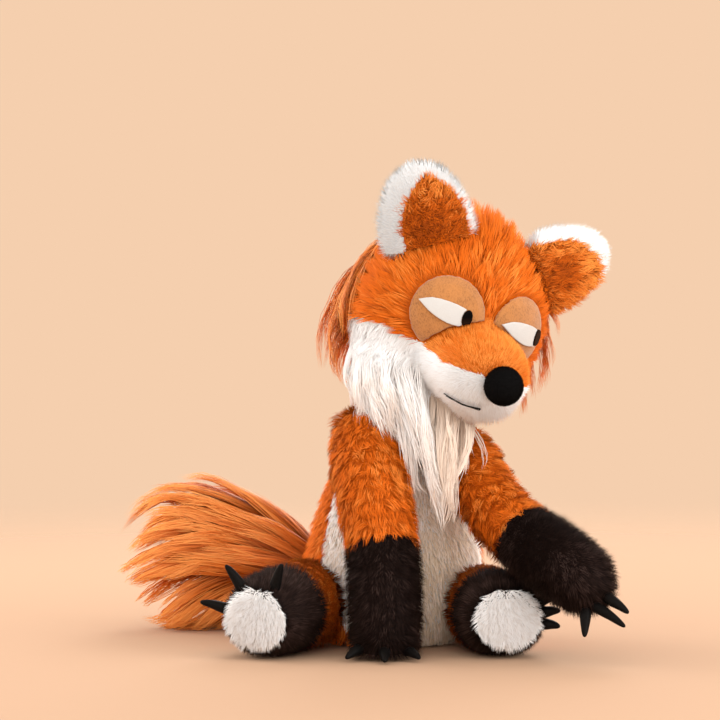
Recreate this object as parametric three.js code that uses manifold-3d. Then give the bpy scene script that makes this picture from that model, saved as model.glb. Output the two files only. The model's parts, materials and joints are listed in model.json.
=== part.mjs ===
// A seated plush fox with a turning head, hinged arms, splaying legs and a swinging tail.
// Millimetres, +Z up. The toy faces -Y and its own left side is +X.
// The origin is the middle of the seat, on the floor.
import * as THREE from "three";
import { mergeVertices } from "three/addons/utils/BufferGeometryUtils.js";
import Module from "manifold-3d";

const wasm = await Module();
wasm.setup();

// Clearances
const GAP = 0.4; // between two neighbouring pieces
const MOVING_GAP = 0.6; // between two pieces that move against each other

// Torso: each station is [x, y, z, half width, half depth], from the seat up.
const TORSO = [
  [0, 4, -16, 56, 52],
  [-2, 4, 12, 69, 65],
  [-3, 3, 45, 73, 70],
  [-2, 1, 80, 69, 66],
  [1, -2, 115, 60, 57],
  [6, -8, 150, 50, 48],
  [11, -14, 180, 41, 40],
  [15, -19, 204, 36, 34],
];
const TORSO_CAPS = [22, 20];
const PANEL_THICKNESS = 7; // white chest panel
const PANEL_OUTLINE = [
  [0, -20],
  [38, 4],
  [60, 26],
  [68, 60],
  [61, 105],
  [47, 145],
  [36, 185],
  [30, 230],
]; // half of the chest panel's front outline: [half width, height]
const PANEL_BACK = 12; // the panel stops this far in front of the middle of the torso
const SEAT_RADIUS = 46;
const SEAT_THICKNESS = 4;
const BAG_RADIUS = 43;
const BAG_HEIGHT = 34;
const BAG_ROUNDING = 10;

// Neck and head
const NECK = [16, -20, 187]; // centre of the neck roll and of the head's two hinges
const NECK_RADIUS = 32;
const HEAD = [30, -33, 261];
const HEAD_TURN = { yaw: 8, pitch: 21, roll: 16 }; // degrees: to its left, down, and over to its left
const NECK_SPACE = 8; // the head's pieces stay this far above the shoulders
const SKULL = [80, 66, 80]; // half width, half depth, half height
const CHEEK = { at: [40, -17, -38], radii: [32, 40, 34] };
const RUFF = { at: [0, -38, -58], radii: [36, 36, 28] };
const MANE = { at: [0, 30, -14], radii: [90, 54, 84], front: -4 };

// Muzzle, in the head's frame: [x, y, z, half width, half height], from the skull out to the nose.
const MUZZLE = [
  [0, -30, -16, 44, 36],
  [0, -60, -15, 43, 36],
  [0, -90, -13, 39, 34],
  [0, -116, -12, 33, 29],
];
const MUZZLE_CAPS = [12, 20];
const MUZZLE_SEAM = { front: [0, -117, -6], slope: 11 }; // where the orange top meets the white chin
const NOSE_RADIUS = 15.4;
const NOSE_RISE = 4; // nose centre over the muzzle's tip
const NOSE_SEAT = 7; // nose centre in front of the muzzle's tip
const MOUTH = { height: -35.5, width: 1.6, depth: 0.9, from: 3, to: 30, slope: -4, back: -74 };

// Eyes
const EYE = { spread: 33, height: 17 };
const EYE_DOME = [
  [30, -4.4],
  [29, -2.4],
  [24, 1.6],
  [16, 4.6],
  [8, 6.3],
]; // the suede disc's outer profile: [radius, height over the skull]
const EYE_TOP = 6.8;
const EYE_BACK = -14;
const WHITE_THICKNESS = 1.3;
const PUPIL_THICKNESS = 2.2;
const EYE_WHITE = [
  [-26, 4.4],
  [-15.5, 9.4],
  [0, 10],
  [12, 8],
  [17.5, 5],
  [17, -4.6],
  [7, -6.4],
  [-2, -6],
  [-14.6, -2.2],
]; // outline on the disc, the same way round on both eyes: [to the toy's left, up]
const PUPIL = { at: [14.4, 1.6], radii: [4, 6.8] };

// Ears, in the head's frame. Each station is [distance from the base, half width, half thickness].
const EAR = [
  [-16, 34, 11],
  [4, 40, 12],
  [24, 38, 11],
  [45, 31, 10],
  [68, 18, 7],
];
const EAR_INNER = [
  [-10, 18, 5],
  [8, 22, 5.5],
  [29, 20, 5],
  [51, 11, 4],
];
const EAR_CAPS = [14, 16];
const EAR_INNER_OUT = 7.5; // the orange front lies this far in front of the ear's middle
const EARS = {
  right: { base: [-49, -14, 57], tip: [-86, -8, 113], faces: [-0.3, -0.95, 0.1], aside: -3 },
  left: { base: [54, -13, 56], tip: [109, -3, 83], faces: [0.3, -0.95, 0.1], aside: -9 },
};

// Beard, hanging from the throat in front of the chest: [x, y, z, half width, half depth].
const BEARD = [
  [26, -88, 206, 26, 12],
  [22, -92, 184, 28, 12],
  [15, -88, 152, 19, 9],
  [12, -84, 122, 11, 6],
  [11, -82, 100, 5, 4],
];
const BEARD_CAPS = [14, 10];

// Arms: [x, y, z, half width, half depth], from the shoulder to the paw.
const ARMS = {
  right: {
    line: [
      [-33, -27, 187, 25, 25],
      [-36, -38, 164, 29, 29],
      [-39, -60, 134, 30, 30],
      [-37, -86, 86, 28, 28],
      [-39, -102, 45, 28, 28],
      [-42, -114, -9, 26, 26],
    ],
    caps: [20, 16],
    pivot: [-36, -32, 166],
    cuff: [-37, -86, 86],
    cuffFaces: [0, -0.42, -0.91],
    range: [0, 45],
  },
  left: {
    line: [
      [36, -27, 161, 19, 19],
      [42, -47, 151, 24, 24],
      [48, -84, 121, 25, 25],
      [63, -121, 95, 26, 26],
      [81, -152, 78, 29, 29],
      [112, -190, 50, 26, 26],
    ],
    caps: [18, 20],
    pivot: [41, -42, 152],
    cuff: [63, -121, 95],
    cuffFaces: [0.42, -0.75, -0.5],
    range: [0, 22],
  },
};

const RAISING_AXIS = [-1, 0, 0];

// Legs: [x, y, z, half width, half height], from inside the torso to the sole.
const LEGS = {
  right: {
    line: [
      [-22, 14, 34, 30, 30],
      [-48, 2, 35, 35, 35],
      [-84, -28, 35, 35, 35],
      [-112, -62, 33, 33, 33],
      [-140, -97, 31, 32, 31],
    ],
    hip: [-56, -4, 34],
    axis: [0, 0, -1],
    range: [-6, 18],
    ankle: [-99, -46, 34],
    ankleFaces: [-0.64, -0.77, 0],
    sole: [-139, -96, 31],
    soleFaces: [-0.6, -0.8, 0.03],
    claws: [26, -32, -76],
    clawsOut: 17.8,
  },
  left: {
    line: [
      [20, 8, 34, 28, 28],
      [40, -12, 34, 32, 32],
      [49, -50, 33, 33, 33],
      [51, -94, 32, 33, 33],
      [48.5, -142, 31, 33, 31],
    ],
    hip: [42, -28, 34],
    axis: [0, 0, 1],
    range: [-10, 0],
    ankle: [49, -68, 33],
    ankleFaces: [0, -1, 0],
    sole: [48.5, -139, 31],
    soleFaces: [-0.06, -1, 0.02],
    claws: [66, 83, 100],
    clawsOut: 10,
  },
};
const LEG_CAPS = [20, 10];
const SOLE_WIDTH = 33; // half of it
const SOLE_HEIGHT = 30.5; // half of it
const SOLE_THICKNESS = 7;

// Claws
const CLAW_RADIUS = 4.2;
const CLAW_TIP = 1.1;
const CLAW_MIDDLE = 3; // radius half way along
const CLAW_ARCH = 0.8; // how far the middle of a claw rises over a straight line
const CLAW_ROOT = 7; // how far a claw reaches back into its paw before the paw cuts it
const CLAW_CAPS = [2, 1.2];
const FOOT_CLAW = { behindSole: 5, inside: 1, forward: 6.3 };
const HAND_CLAWS = {
  right: [
    { root: [-64, -120, 9], tip: [-78, -131, 3] },
    { root: [-49, -137, 7], tip: [-53, -153, 2.5] },
    { root: [-29, -130, 8], tip: [-23, -146, 3] },
  ],
  left: [
    { root: [94, -191, 37], tip: [90, -201, 22] },
    { root: [104, -192, 43], tip: [119, -213, 30] },
    { root: [113, -196, 49], tip: [123, -208, 40] },
  ],
};

// Tail: [x, y, z, half height, half width], from inside the torso to the tip.
const TAIL = [
  [-14, 36, 30, 20, 20],
  [-34, 74, 36, 29, 26],
  [-68, 104, 52, 45, 36],
  [-110, 120, 62, 56, 42],
  [-152, 122, 62, 48, 36],
  [-190, 120, 56, 24, 20],
];
const TAIL_CAPS = [16, 18];
const TAIL_PIVOT = [-28, 64, 34];

const TAIL_RANGE = [-20, 15];
const SWEEP_STEP = 9; // degrees between the copies that clear a moving piece's path

// Colours
const ORANGE = { color: 0xc95a1c, roughness: 0.9, metalness: 0 };
const DEEP_ORANGE = { color: 0xb84f18, roughness: 0.9, metalness: 0 };
const WHITE_FUR = { color: 0xf2eeea, roughness: 0.9, metalness: 0 };
const CREAM_FUR = { color: 0xeae2d8, roughness: 0.9, metalness: 0 };
const BROWN_FUR = { color: 0x2e2220, roughness: 0.95, metalness: 0 };
const SUEDE = { color: 0xc08048, roughness: 0.85, metalness: 0 };
const BLACK_VELOUR = { color: 0x0b0b0c, roughness: 0.9, metalness: 0 };
const FELT_WHITE = { color: 0xf4f2f0, roughness: 0.8, metalness: 0 };
const GLOSS_BLACK = { color: 0x0a0908, roughness: 0.2, metalness: 0 };
const CLAW_BLACK = { color: 0x0d0c0d, roughness: 0.6, metalness: 0 };
const THREAD = { color: 0x111111, roughness: 0.8, metalness: 0 };
const CANVAS = { color: 0xd9cfc0, roughness: 0.9, metalness: 0 };

const FAR = 600; // larger than the toy
const RIGHT = -1;
const LEFT = 1;

function vector([x, y, z]) {
  return new THREE.Vector3(x, y, z);
}

// A three.js geometry as a solid that can be cut and joined, and back again.
function solidOf(geometry) {
  const bare = new THREE.BufferGeometry();
  bare.setAttribute("position", geometry.getAttribute("position"));
  bare.setIndex(geometry.getIndex());
  const merged = mergeVertices(bare, 1e-4);
  const mesh = new wasm.Mesh({
    numProp: 3,
    vertProperties: merged.getAttribute("position").array,
    triVerts: new Uint32Array(merged.getIndex().array),
  });
  return new wasm.Manifold(mesh);
}

function geometryOf(solid) {
  const { vertProperties, triVerts } = solid.getMesh();
  const geometry = new THREE.BufferGeometry();
  geometry.setAttribute("position", new THREE.BufferAttribute(vertProperties, 3));
  geometry.setIndex(new THREE.BufferAttribute(triVerts, 1));
  return geometry;
}

function cut(geometry, ...tools) {
  let solid = solidOf(geometry);
  for (const tool of tools) solid = solid.subtract(solidOf(tool));
  return geometryOf(largest(solid));
}

function common(geometry, ...tools) {
  let solid = solidOf(geometry);
  for (const tool of tools) solid = solid.intersect(solidOf(tool));
  return geometryOf(largest(solid));
}

// A cut can leave crumbs beside the piece, so only its largest body is kept.
function largest(solid) {
  return solid.decompose().reduce((a, b) => (b.volume() > a.volume() ? b : a));
}

// A stuffed form: elliptical rings along a smooth spine, rounded over at both ends.
function form(stations, caps, { grow = 0, sides = 16, rings = 10, across = [1, 0, 0] } = {}) {
  const spine = new THREE.CatmullRomCurve3(stations.map(vector));
  const sizes = new THREE.CatmullRomCurve3(stations.map(([, , , a, b]) => vector([a, b, 0])));
  const length = spine.getLength();
  const positions = [];
  const index = [];
  for (let i = 0; i <= rings; i++) {
    const t = 0.5 - 0.5 * Math.cos((Math.PI * i) / rings);
    const along = t * length;
    const tangent = spine.getTangent(t);
    const wide = vector(across).addScaledVector(tangent, -vector(across).dot(tangent)).normalize();
    const deep = new THREE.Vector3().crossVectors(tangent, wide);
    const middle = spine.getPoint(t).addScaledVector(tangent, grow * (2 * t - 1));
    const size = sizes.getPoint(t);
    const shrink = rounding(along, caps[0]) * rounding(length - along, caps[1]);
    const pole = i === 0 || i === rings;
    for (let j = 0; j < (pole ? 1 : sides); j++) {
      const angle = (2 * Math.PI * j) / sides;
      const point = middle.clone();
      if (!pole) {
        point.addScaledVector(wide, (size.x + grow) * shrink * Math.cos(angle));
        point.addScaledVector(deep, (size.y + grow) * shrink * Math.sin(angle));
      }
      positions.push(point.x, point.y, point.z);
    }
  }
  const last = positions.length / 3 - 1;
  const ring = (i, j) => 1 + (i - 1) * sides + (j % sides);
  for (let j = 0; j < sides; j++) {
    index.push(0, ring(1, j + 1), ring(1, j));
    for (let i = 1; i < rings - 1; i++) {
      index.push(ring(i, j), ring(i, j + 1), ring(i + 1, j + 1));
      index.push(ring(i, j), ring(i + 1, j + 1), ring(i + 1, j));
    }
    index.push(ring(rings - 1, j), ring(rings - 1, j + 1), last);
  }
  const geometry = new THREE.BufferGeometry();
  geometry.setAttribute("position", new THREE.Float32BufferAttribute(positions, 3));
  geometry.setIndex(index);
  return geometry;
}

// 0 at a rounded end, 1 from the cap's length inwards.
function rounding(distance, cap) {
  const left = Math.max(0, 1 - distance / cap);
  return Math.sqrt(Math.max(0, 1 - left * left));
}

function ellipsoid(at, radii, { grow = 0, sides = 16, rings = 10 } = {}) {
  const geometry = new THREE.SphereGeometry(1, sides, rings);
  geometry.scale(...radii.map((radius) => radius + grow));
  return geometry.translate(...at);
}

// Turns a geometry's own +Z to the given direction, its +X as near as can be to `across`, and moves it.
function place(geometry, at, direction, across = [1, 0, 0]) {
  const zAxis = vector(direction).normalize();
  const xAxis = vector(across).addScaledVector(zAxis, -vector(across).dot(zAxis)).normalize();
  const yAxis = new THREE.Vector3().crossVectors(zAxis, xAxis);
  const matrix = new THREE.Matrix4().makeBasis(xAxis, yAxis, zAxis).setPosition(...at);
  return geometry.applyMatrix4(matrix);
}

// Everything on the side of a plane that it faces.
function beyond(at, faces) {
  return place(new THREE.BoxGeometry(FAR, FAR, FAR).translate(0, 0, FAR / 2), at, faces);
}

function opposite(direction) {
  return direction.map((value) => -value);
}

function shifted(at, direction, distance) {
  return vector(at).addScaledVector(vector(direction).normalize(), distance).toArray();
}

function turnedAbout(geometry, pivot, axis, degrees) {
  const turn = new THREE.Matrix4().makeRotationAxis(vector(axis).normalize(), (degrees * Math.PI) / 180);
  const matrix = new THREE.Matrix4().makeTranslation(...pivot).multiply(turn);
  matrix.multiply(new THREE.Matrix4().makeTranslation(...opposite(pivot)));
  return geometry.clone().applyMatrix4(matrix);
}

// What a piece that turns by `range` about the axis has to be cut by, to clear a fixed neighbour.
function path(neighbour, pivot, axis, [low, high]) {
  const steps = Math.max(1, Math.ceil((high - low) / SWEEP_STEP));
  return Array.from({ length: steps + 1 }, (_, i) =>
    turnedAbout(neighbour, pivot, axis, -(low + ((high - low) * i) / steps)),
  );
}

const root = new THREE.Group();
root.name = "plush_fox";
const headGroup = new THREE.Group();
headGroup.position.set(...HEAD);
headGroup.rotation.set(
  THREE.MathUtils.degToRad(HEAD_TURN.pitch),
  THREE.MathUtils.degToRad(HEAD_TURN.roll),
  THREE.MathUtils.degToRad(HEAD_TURN.yaw),
  "ZXY",
);
headGroup.updateMatrixWorld(true);
root.add(headGroup);

function add(parent, name, geometry, look) {
  const mesh = new THREE.Mesh(geometry.toNonIndexed(), new THREE.MeshStandardMaterial(look));
  mesh.geometry.computeVertexNormals();
  mesh.name = name;
  parent.add(mesh);
  return mesh;
}

function inHead(geometry) {
  return geometry.clone().applyMatrix4(headGroup.matrixWorld.clone().invert());
}

function directionInHead(direction) {
  return vector(direction).applyQuaternion(headGroup.quaternion.clone().invert()).toArray();
}

const floor = beyond([0, 0, 0], [0, 0, -1]);
const neckAxis = new THREE.Vector3().subVectors(vector(HEAD), vector(NECK)).normalize().toArray();
const aboveShoulders = beyond(shifted(NECK, neckAxis, -GAP), neckAxis);
const torsoForm = (grow) => form(TORSO, TORSO_CAPS, { grow, sides: 20, rings: 12 });
const torsoOuter = (grow) => cut(torsoForm(grow), aboveShoulders);
const neckRadii = [NECK_RADIUS, NECK_RADIUS, NECK_RADIUS];
const neckBall = (grow) => ellipsoid(NECK, neckRadii, { grow, sides: 24, rings: 14 });

// Torso: orange back, white chest panel, and a weighted bag over the seat panel.
function addTorso() {
  const panelHalf = Math.max(...PANEL_OUTLINE.map(([x]) => x));
  const half = PANEL_OUTLINE.map(([x, z]) => new THREE.Vector2(x, z));
  const mirrored = PANEL_OUTLINE.slice(1).map(([x, z]) => new THREE.Vector2(-x, z)).reverse();
  const panelPrism = (inset) => {
    const outline = [...half, ...mirrored];
    const shape = new THREE.Shape(new THREE.SplineCurve([...outline, outline[0]]).getPoints(28).slice(0, -1));
    const geometry = new THREE.ExtrudeGeometry(shape, { depth: FAR / 2, bevelEnabled: false });
    geometry.scale((panelHalf - inset) / panelHalf, 1, 1);
    return geometry.rotateX(Math.PI / 2).translate(0, -PANEL_BACK - inset, 0);
  };
  const roomHeight = 2 * (BAG_HEIGHT + SEAT_THICKNESS + 3 * GAP);
  const pocket = new THREE.CylinderGeometry(SEAT_RADIUS + GAP, SEAT_RADIUS + GAP, roomHeight, 32);
  pocket.rotateX(Math.PI / 2);
  const others = [neckBall(MOVING_GAP), pocket, floor];
  const panel = cut(torsoOuter(0), torsoForm(-PANEL_THICKNESS), ...others);
  add(root, "chest_panel", common(panel, panelPrism(0)), WHITE_FUR);
  const panelRoom = cut(panelPrism(-GAP), torsoForm(-PANEL_THICKNESS - GAP));
  add(root, "torso_back", cut(torsoOuter(0), panelRoom, ...others), ORANGE);
  const seat = new THREE.CylinderGeometry(SEAT_RADIUS, SEAT_RADIUS, SEAT_THICKNESS, 32);
  add(root, "seat_panel", seat.rotateX(Math.PI / 2).translate(0, 0, SEAT_THICKNESS / 2), CANVAS);
  const bagLow = SEAT_THICKNESS + GAP;
  const bag = form(
    [
      [0, 0, bagLow, BAG_RADIUS, BAG_RADIUS],
      [0, 0, bagLow + BAG_HEIGHT, BAG_RADIUS, BAG_RADIUS],
    ],
    [BAG_ROUNDING, BAG_ROUNDING],
    { rings: 8 },
  );
  add(root, "pellet_bag", bag, CANVAS);
  add(root, "neck_roll", neckBall(0), ORANGE);
}

// The point of the skull's front at the given side and height, and the way the skull faces there.
function onSkull(x, z) {
  const [a, b, c] = SKULL;
  const y = -b * Math.sqrt(1 - (x / a) ** 2 - (z / c) ** 2);
  const faces = new THREE.Vector3(x / a ** 2, y / b ** 2, z / c ** 2).normalize();
  return { at: [x, y, z], faces: faces.toArray() };
}

const skullForm = (grow) => ellipsoid([0, 0, 0], SKULL, { grow, sides: 20, rings: 12 });
const muzzleForm = (grow) => form(MUZZLE, MUZZLE_CAPS, { grow, sides: 18, rings: 8 });
const cheekForm = (side, grow) => {
  const [x, y, z] = CHEEK.at;
  return ellipsoid([side * x, y, z], CHEEK.radii, { grow, sides: 14, rings: 8 });
};
const ruffForm = (grow) => ellipsoid(RUFF.at, RUFF.radii, { grow, sides: 14, rings: 8 });

function earForm(side, stations, out, grow, aside = 0) {
  const { base, tip, faces } = EARS[side];
  const up = new THREE.Vector3().subVectors(vector(tip), vector(base)).normalize();
  const front = vector(faces).addScaledVector(up, -vector(faces).dot(up)).normalize();
  const across = new THREE.Vector3().crossVectors(front, up);
  const line = stations.map(([distance, wide, thick]) => {
    const at = vector(base).addScaledVector(up, distance).addScaledVector(front, out);
    return [...at.addScaledVector(across, aside).toArray(), wide, thick];
  });
  return form(line, EAR_CAPS, { grow, across: across.toArray(), sides: 14, rings: 8 });
}

function addHead() {
  const neckHead = headGroup.worldToLocal(vector(NECK)).toArray();
  const axisHead = directionInHead(neckAxis);
  const socket = inHead(neckBall(MOVING_GAP));
  const shoulders = beyond(shifted(neckHead, axisHead, NECK_SPACE), opposite(axisHead));
  const torsoThere = inHead(torsoOuter(GAP));
  const armsThere = ["right", "left"].map((side) => inHead(armForm(side, GAP)));

  add(headGroup, "skull", cut(skullForm(0), socket, shoulders), ORANGE);

  const { front, slope } = MUZZLE_SEAM;
  const angle = THREE.MathUtils.degToRad(slope);
  const seamFaces = [0, -Math.sin(angle), Math.cos(angle)];
  const snout = cut(muzzleForm(0), skullForm(GAP), socket, shoulders);
  const upper = beyond(shifted(front, seamFaces, GAP / 2), seamFaces);
  const lower = beyond(shifted(front, seamFaces, -GAP / 2), opposite(seamFaces));
  add(headGroup, "muzzle_top", common(snout, upper), ORANGE);
  add(headGroup, "muzzle_chin", common(snout, lower), WHITE_FUR);

  const tip = MUZZLE[MUZZLE.length - 1];
  const noseAt = [tip[0], tip[1] - NOSE_SEAT, tip[2] + NOSE_RISE];
  const noseRadii = [NOSE_RADIUS, NOSE_RADIUS, NOSE_RADIUS];
  const nose = ellipsoid(noseAt, noseRadii, { sides: 16, rings: 10 });
  add(headGroup, "nose", cut(nose, muzzleForm(GAP)), BLACK_VELOUR);

  const slab = new THREE.BoxGeometry(MOUTH.to - MOUTH.from, FAR, MOUTH.width);
  slab.rotateY(THREE.MathUtils.degToRad(MOUTH.slope));
  slab.translate(-(MOUTH.to + MOUTH.from) / 2, MOUTH.back - FAR / 2, MOUTH.height);
  const stitch = cut(common(slab, muzzleForm(GAP + MOUTH.depth)), muzzleForm(GAP), skullForm(GAP));
  add(headGroup, "mouth_stitch", cut(stitch, ellipsoid(noseAt, noseRadii, { grow: GAP })), THREAD);

  for (const [name, side] of [["right", RIGHT], ["left", LEFT]]) {
    const cheek = cut(cheekForm(side, 0), skullForm(GAP), muzzleForm(GAP), socket, shoulders);
    add(headGroup, `cheek_${name}`, cheek, WHITE_FUR);
    addEye(name, side);
    addEar(name);
  }

  const cheeks = [cheekForm(RIGHT, GAP), cheekForm(LEFT, GAP)];
  const ruff = cut(ruffForm(0), skullForm(GAP), muzzleForm(GAP), ...cheeks, socket, shoulders);
  add(headGroup, "throat_ruff", ruff, WHITE_FUR);

  const ears = ["right", "left"].map((side) => earForm(side, EAR, 0, GAP));
  const behind = beyond([0, MANE.front, 0], [0, 1, 0]);
  const mane = common(ellipsoid(MANE.at, MANE.radii, { sides: 16, rings: 10 }), behind);
  const maneCutters = [skullForm(GAP), ...cheeks, ruffForm(GAP), ...ears, socket, torsoThere, ...armsThere];
  add(headGroup, "mane", cut(mane, ...maneCutters), DEEP_ORANGE);

  const beard = form(BEARD, BEARD_CAPS, { sides: 12, rings: 8 });
  const beardCutters = [skullForm(GAP), muzzleForm(GAP), ...cheeks, ruffForm(GAP), torsoThere, ...armsThere];
  add(headGroup, "beard", cut(inHead(beard), ...beardCutters), CREAM_FUR);
}

function eyeDome(at, faces, grow) {
  const outer = EYE_DOME.map(([radius, height]) => new THREE.Vector2(radius + grow, height + grow));
  const [rim] = outer;
  const profile = [new THREE.Vector2(0, EYE_BACK), new THREE.Vector2(rim.x, EYE_BACK), ...outer];
  const lathe = new THREE.LatheGeometry([...profile, new THREE.Vector2(0, EYE_TOP + grow)], 22);
  return place(lathe.rotateX(Math.PI / 2), at, faces);
}

function prism(points, at, faces) {
  const shape = new THREE.Shape(points.map(([x, y]) => new THREE.Vector2(x, y)));
  const geometry = new THREE.ExtrudeGeometry(shape, { depth: 40, bevelEnabled: false });
  return place(geometry.translate(0, 0, -20), at, faces);
}

function oval([x, y], [a, b], grow) {
  const curve = new THREE.EllipseCurve(x, y, a + grow, b + grow);
  return curve.getPoints(12).slice(0, -1).map((point) => point.toArray());
}

function leaf() {
  const points = EYE_WHITE.map(([x, y]) => new THREE.Vector3(x, y, 0));
  const curve = new THREE.CatmullRomCurve3([...points, points[0]], false, "catmullrom", 0.5);
  return curve.getPoints(20).slice(0, -1).map((point) => [point.x, point.y]);
}

function addEye(name, side) {
  const { at, faces } = onSkull(side * EYE.spread, EYE.height);
  const others = [skullForm(GAP), muzzleForm(GAP)];
  const disc = cut(eyeDome(at, faces, 0), ...others);
  add(headGroup, `eye_disc_${name}`, disc, SUEDE);
  const onDisc = (outline, thickness) => {
    const sheet = common(prism(outline, at, faces), eyeDome(at, faces, GAP + thickness));
    return cut(sheet, eyeDome(at, faces, GAP), ...others);
  };
  const pupilHole = prism(oval(PUPIL.at, PUPIL.radii, GAP), at, faces);
  add(headGroup, `eye_white_${name}`, cut(onDisc(leaf(), WHITE_THICKNESS), pupilHole), FELT_WHITE);
  add(headGroup, `pupil_${name}`, onDisc(oval(PUPIL.at, PUPIL.radii, 0), PUPIL_THICKNESS), GLOSS_BLACK);
}

function addEar(name) {
  const innerForm = (grow) => earForm(name, EAR_INNER, EAR_INNER_OUT, grow, EARS[name].aside);
  const shell = cut(earForm(name, EAR, 0, 0), skullForm(GAP), innerForm(GAP));
  add(headGroup, `ear_shell_${name}`, shell, WHITE_FUR);
  const inner = cut(innerForm(0), skullForm(GAP));
  add(headGroup, `ear_front_${name}`, inner, ORANGE);
}

const armForm = (side, grow) => form(ARMS[side].line, ARMS[side].caps, { grow, rings: 12 });

// Arms: an orange sleeve, a dark forearm from the cuff seam down, and three claws on the paw.
function addArm(name) {
  const { pivot, cuff, cuffFaces, range } = ARMS[name];
  const group = new THREE.Group();
  root.add(group);
  const raising = [pivot, RAISING_AXIS, range];
  const neighbours = [...path(torsoOuter(MOVING_GAP), ...raising), ...path(neckBall(MOVING_GAP), ...raising)];
  const arm = cut(armForm(name, 0), ...neighbours, floor);
  const hand = beyond(shifted(cuff, cuffFaces, GAP / 2), cuffFaces);
  const sleeve = beyond(shifted(cuff, cuffFaces, -GAP / 2), opposite(cuffFaces));
  add(group, `sleeve_${name}`, common(arm, sleeve), ORANGE);
  add(group, `forearm_${name}`, common(arm, hand), BROWN_FUR);
  HAND_CLAWS[name].forEach(({ root: from, tip }, i) => {
    const claw = cut(clawForm(from, tip), armForm(name, GAP), floor);
    add(group, `hand_claw_${name}_${i + 1}`, claw, CLAW_BLACK);
  });
}

// A claw: a blunt cone from its root inside the paw to its tip, curving down a little.
function clawForm(from, tip) {
  const direction = new THREE.Vector3().subVectors(vector(tip), vector(from)).normalize().toArray();
  const back = shifted(from, direction, -CLAW_ROOT);
  const middle = vector(from).lerp(vector(tip), 0.5).add(vector([0, 0, CLAW_ARCH])).toArray();
  const line = [
    [...back, CLAW_RADIUS, CLAW_RADIUS],
    [...from, CLAW_RADIUS, CLAW_RADIUS],
    [...middle, CLAW_MIDDLE, CLAW_MIDDLE],
    [...tip, CLAW_TIP, CLAW_TIP],
  ];
  const across = Math.abs(direction[0]) > 0.8 ? [0, 1, 0] : [1, 0, 0];
  return form(line, CLAW_CAPS, { sides: 8, rings: 5, across });
}

const legForm = (side, grow) => form(LEGS[side].line, LEG_CAPS, { grow });

// Legs: an orange thigh, a dark foot from the ankle seam out, a white sole and three claws.
function addLeg(name) {
  const { hip, axis, range, ankle, ankleFaces, sole, soleFaces, claws, clawsOut } = LEGS[name];
  const group = new THREE.Group();
  root.add(group);
  const torsoPath = path(torsoOuter(MOVING_GAP), hip, axis, range);
  const beyondSole = beyond(sole, soleFaces);
  const leg = cut(legForm(name, 0), ...torsoPath, floor, beyondSole);
  const foot = beyond(shifted(ankle, ankleFaces, GAP / 2), ankleFaces);
  const thigh = beyond(shifted(ankle, ankleFaces, -GAP / 2), opposite(ankleFaces));
  add(group, `thigh_${name}`, common(leg, thigh), ORANGE);
  add(group, `foot_${name}`, common(leg, foot), BROWN_FUR);
  const pad = form(
    [
      [0, 0, 0, SOLE_WIDTH, SOLE_HEIGHT],
      [0, 0, SOLE_THICKNESS, SOLE_WIDTH, SOLE_HEIGHT],
    ],
    [1, SOLE_THICKNESS],
    { sides: 20, rings: 6 },
  );
  add(group, `sole_${name}`, place(pad, shifted(sole, soleFaces, GAP), soleFaces), WHITE_FUR);
  const forward = vector(soleFaces).normalize();
  const sideways = new THREE.Vector3().crossVectors(new THREE.Vector3(0, 0, 1), forward).normalize();
  const radius = LEGS[name].line.at(-1)[3];
  claws.forEach((degrees, i) => {
    const turn = THREE.MathUtils.degToRad(degrees);
    const out = new THREE.Vector3(0, 0, Math.cos(turn)).addScaledVector(sideways, Math.sin(turn));
    const from = vector(sole).addScaledVector(forward, -FOOT_CLAW.behindSole);
    from.addScaledVector(out, radius - FOOT_CLAW.inside);
    const tip = from.clone().addScaledVector(out, clawsOut).addScaledVector(forward, FOOT_CLAW.forward);
    const claw = cut(clawForm(from.toArray(), tip.toArray()), legForm(name, GAP));
    add(group, `foot_claw_${name}_${i + 1}`, claw, CLAW_BLACK);
  });
}

// Tail: one full brush that lies on the floor behind the toy's right leg.
function addTail() {
  const torsoPath = path(torsoOuter(MOVING_GAP), TAIL_PIVOT, [0, 0, 1], TAIL_RANGE);
  const brush = form(TAIL, TAIL_CAPS, { rings: 14, sides: 18, across: [0, 0, 1] });
  add(root, "tail", cut(brush, ...torsoPath, floor), DEEP_ORANGE);
}

addTorso();
addHead();
addArm("right");
addArm("left");
addLeg("right");
addLeg("left");
addTail();

export default root;
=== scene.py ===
import json
import math
from dataclasses import dataclass
from typing import Callable

import bmesh
import bpy
import numpy as np
from bpy.props import FloatProperty, FloatVectorProperty, PointerProperty
from mathutils import Matrix, Vector
from mathutils.bvhtree import BVHTree
from mathutils.kdtree import KDTree

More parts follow.
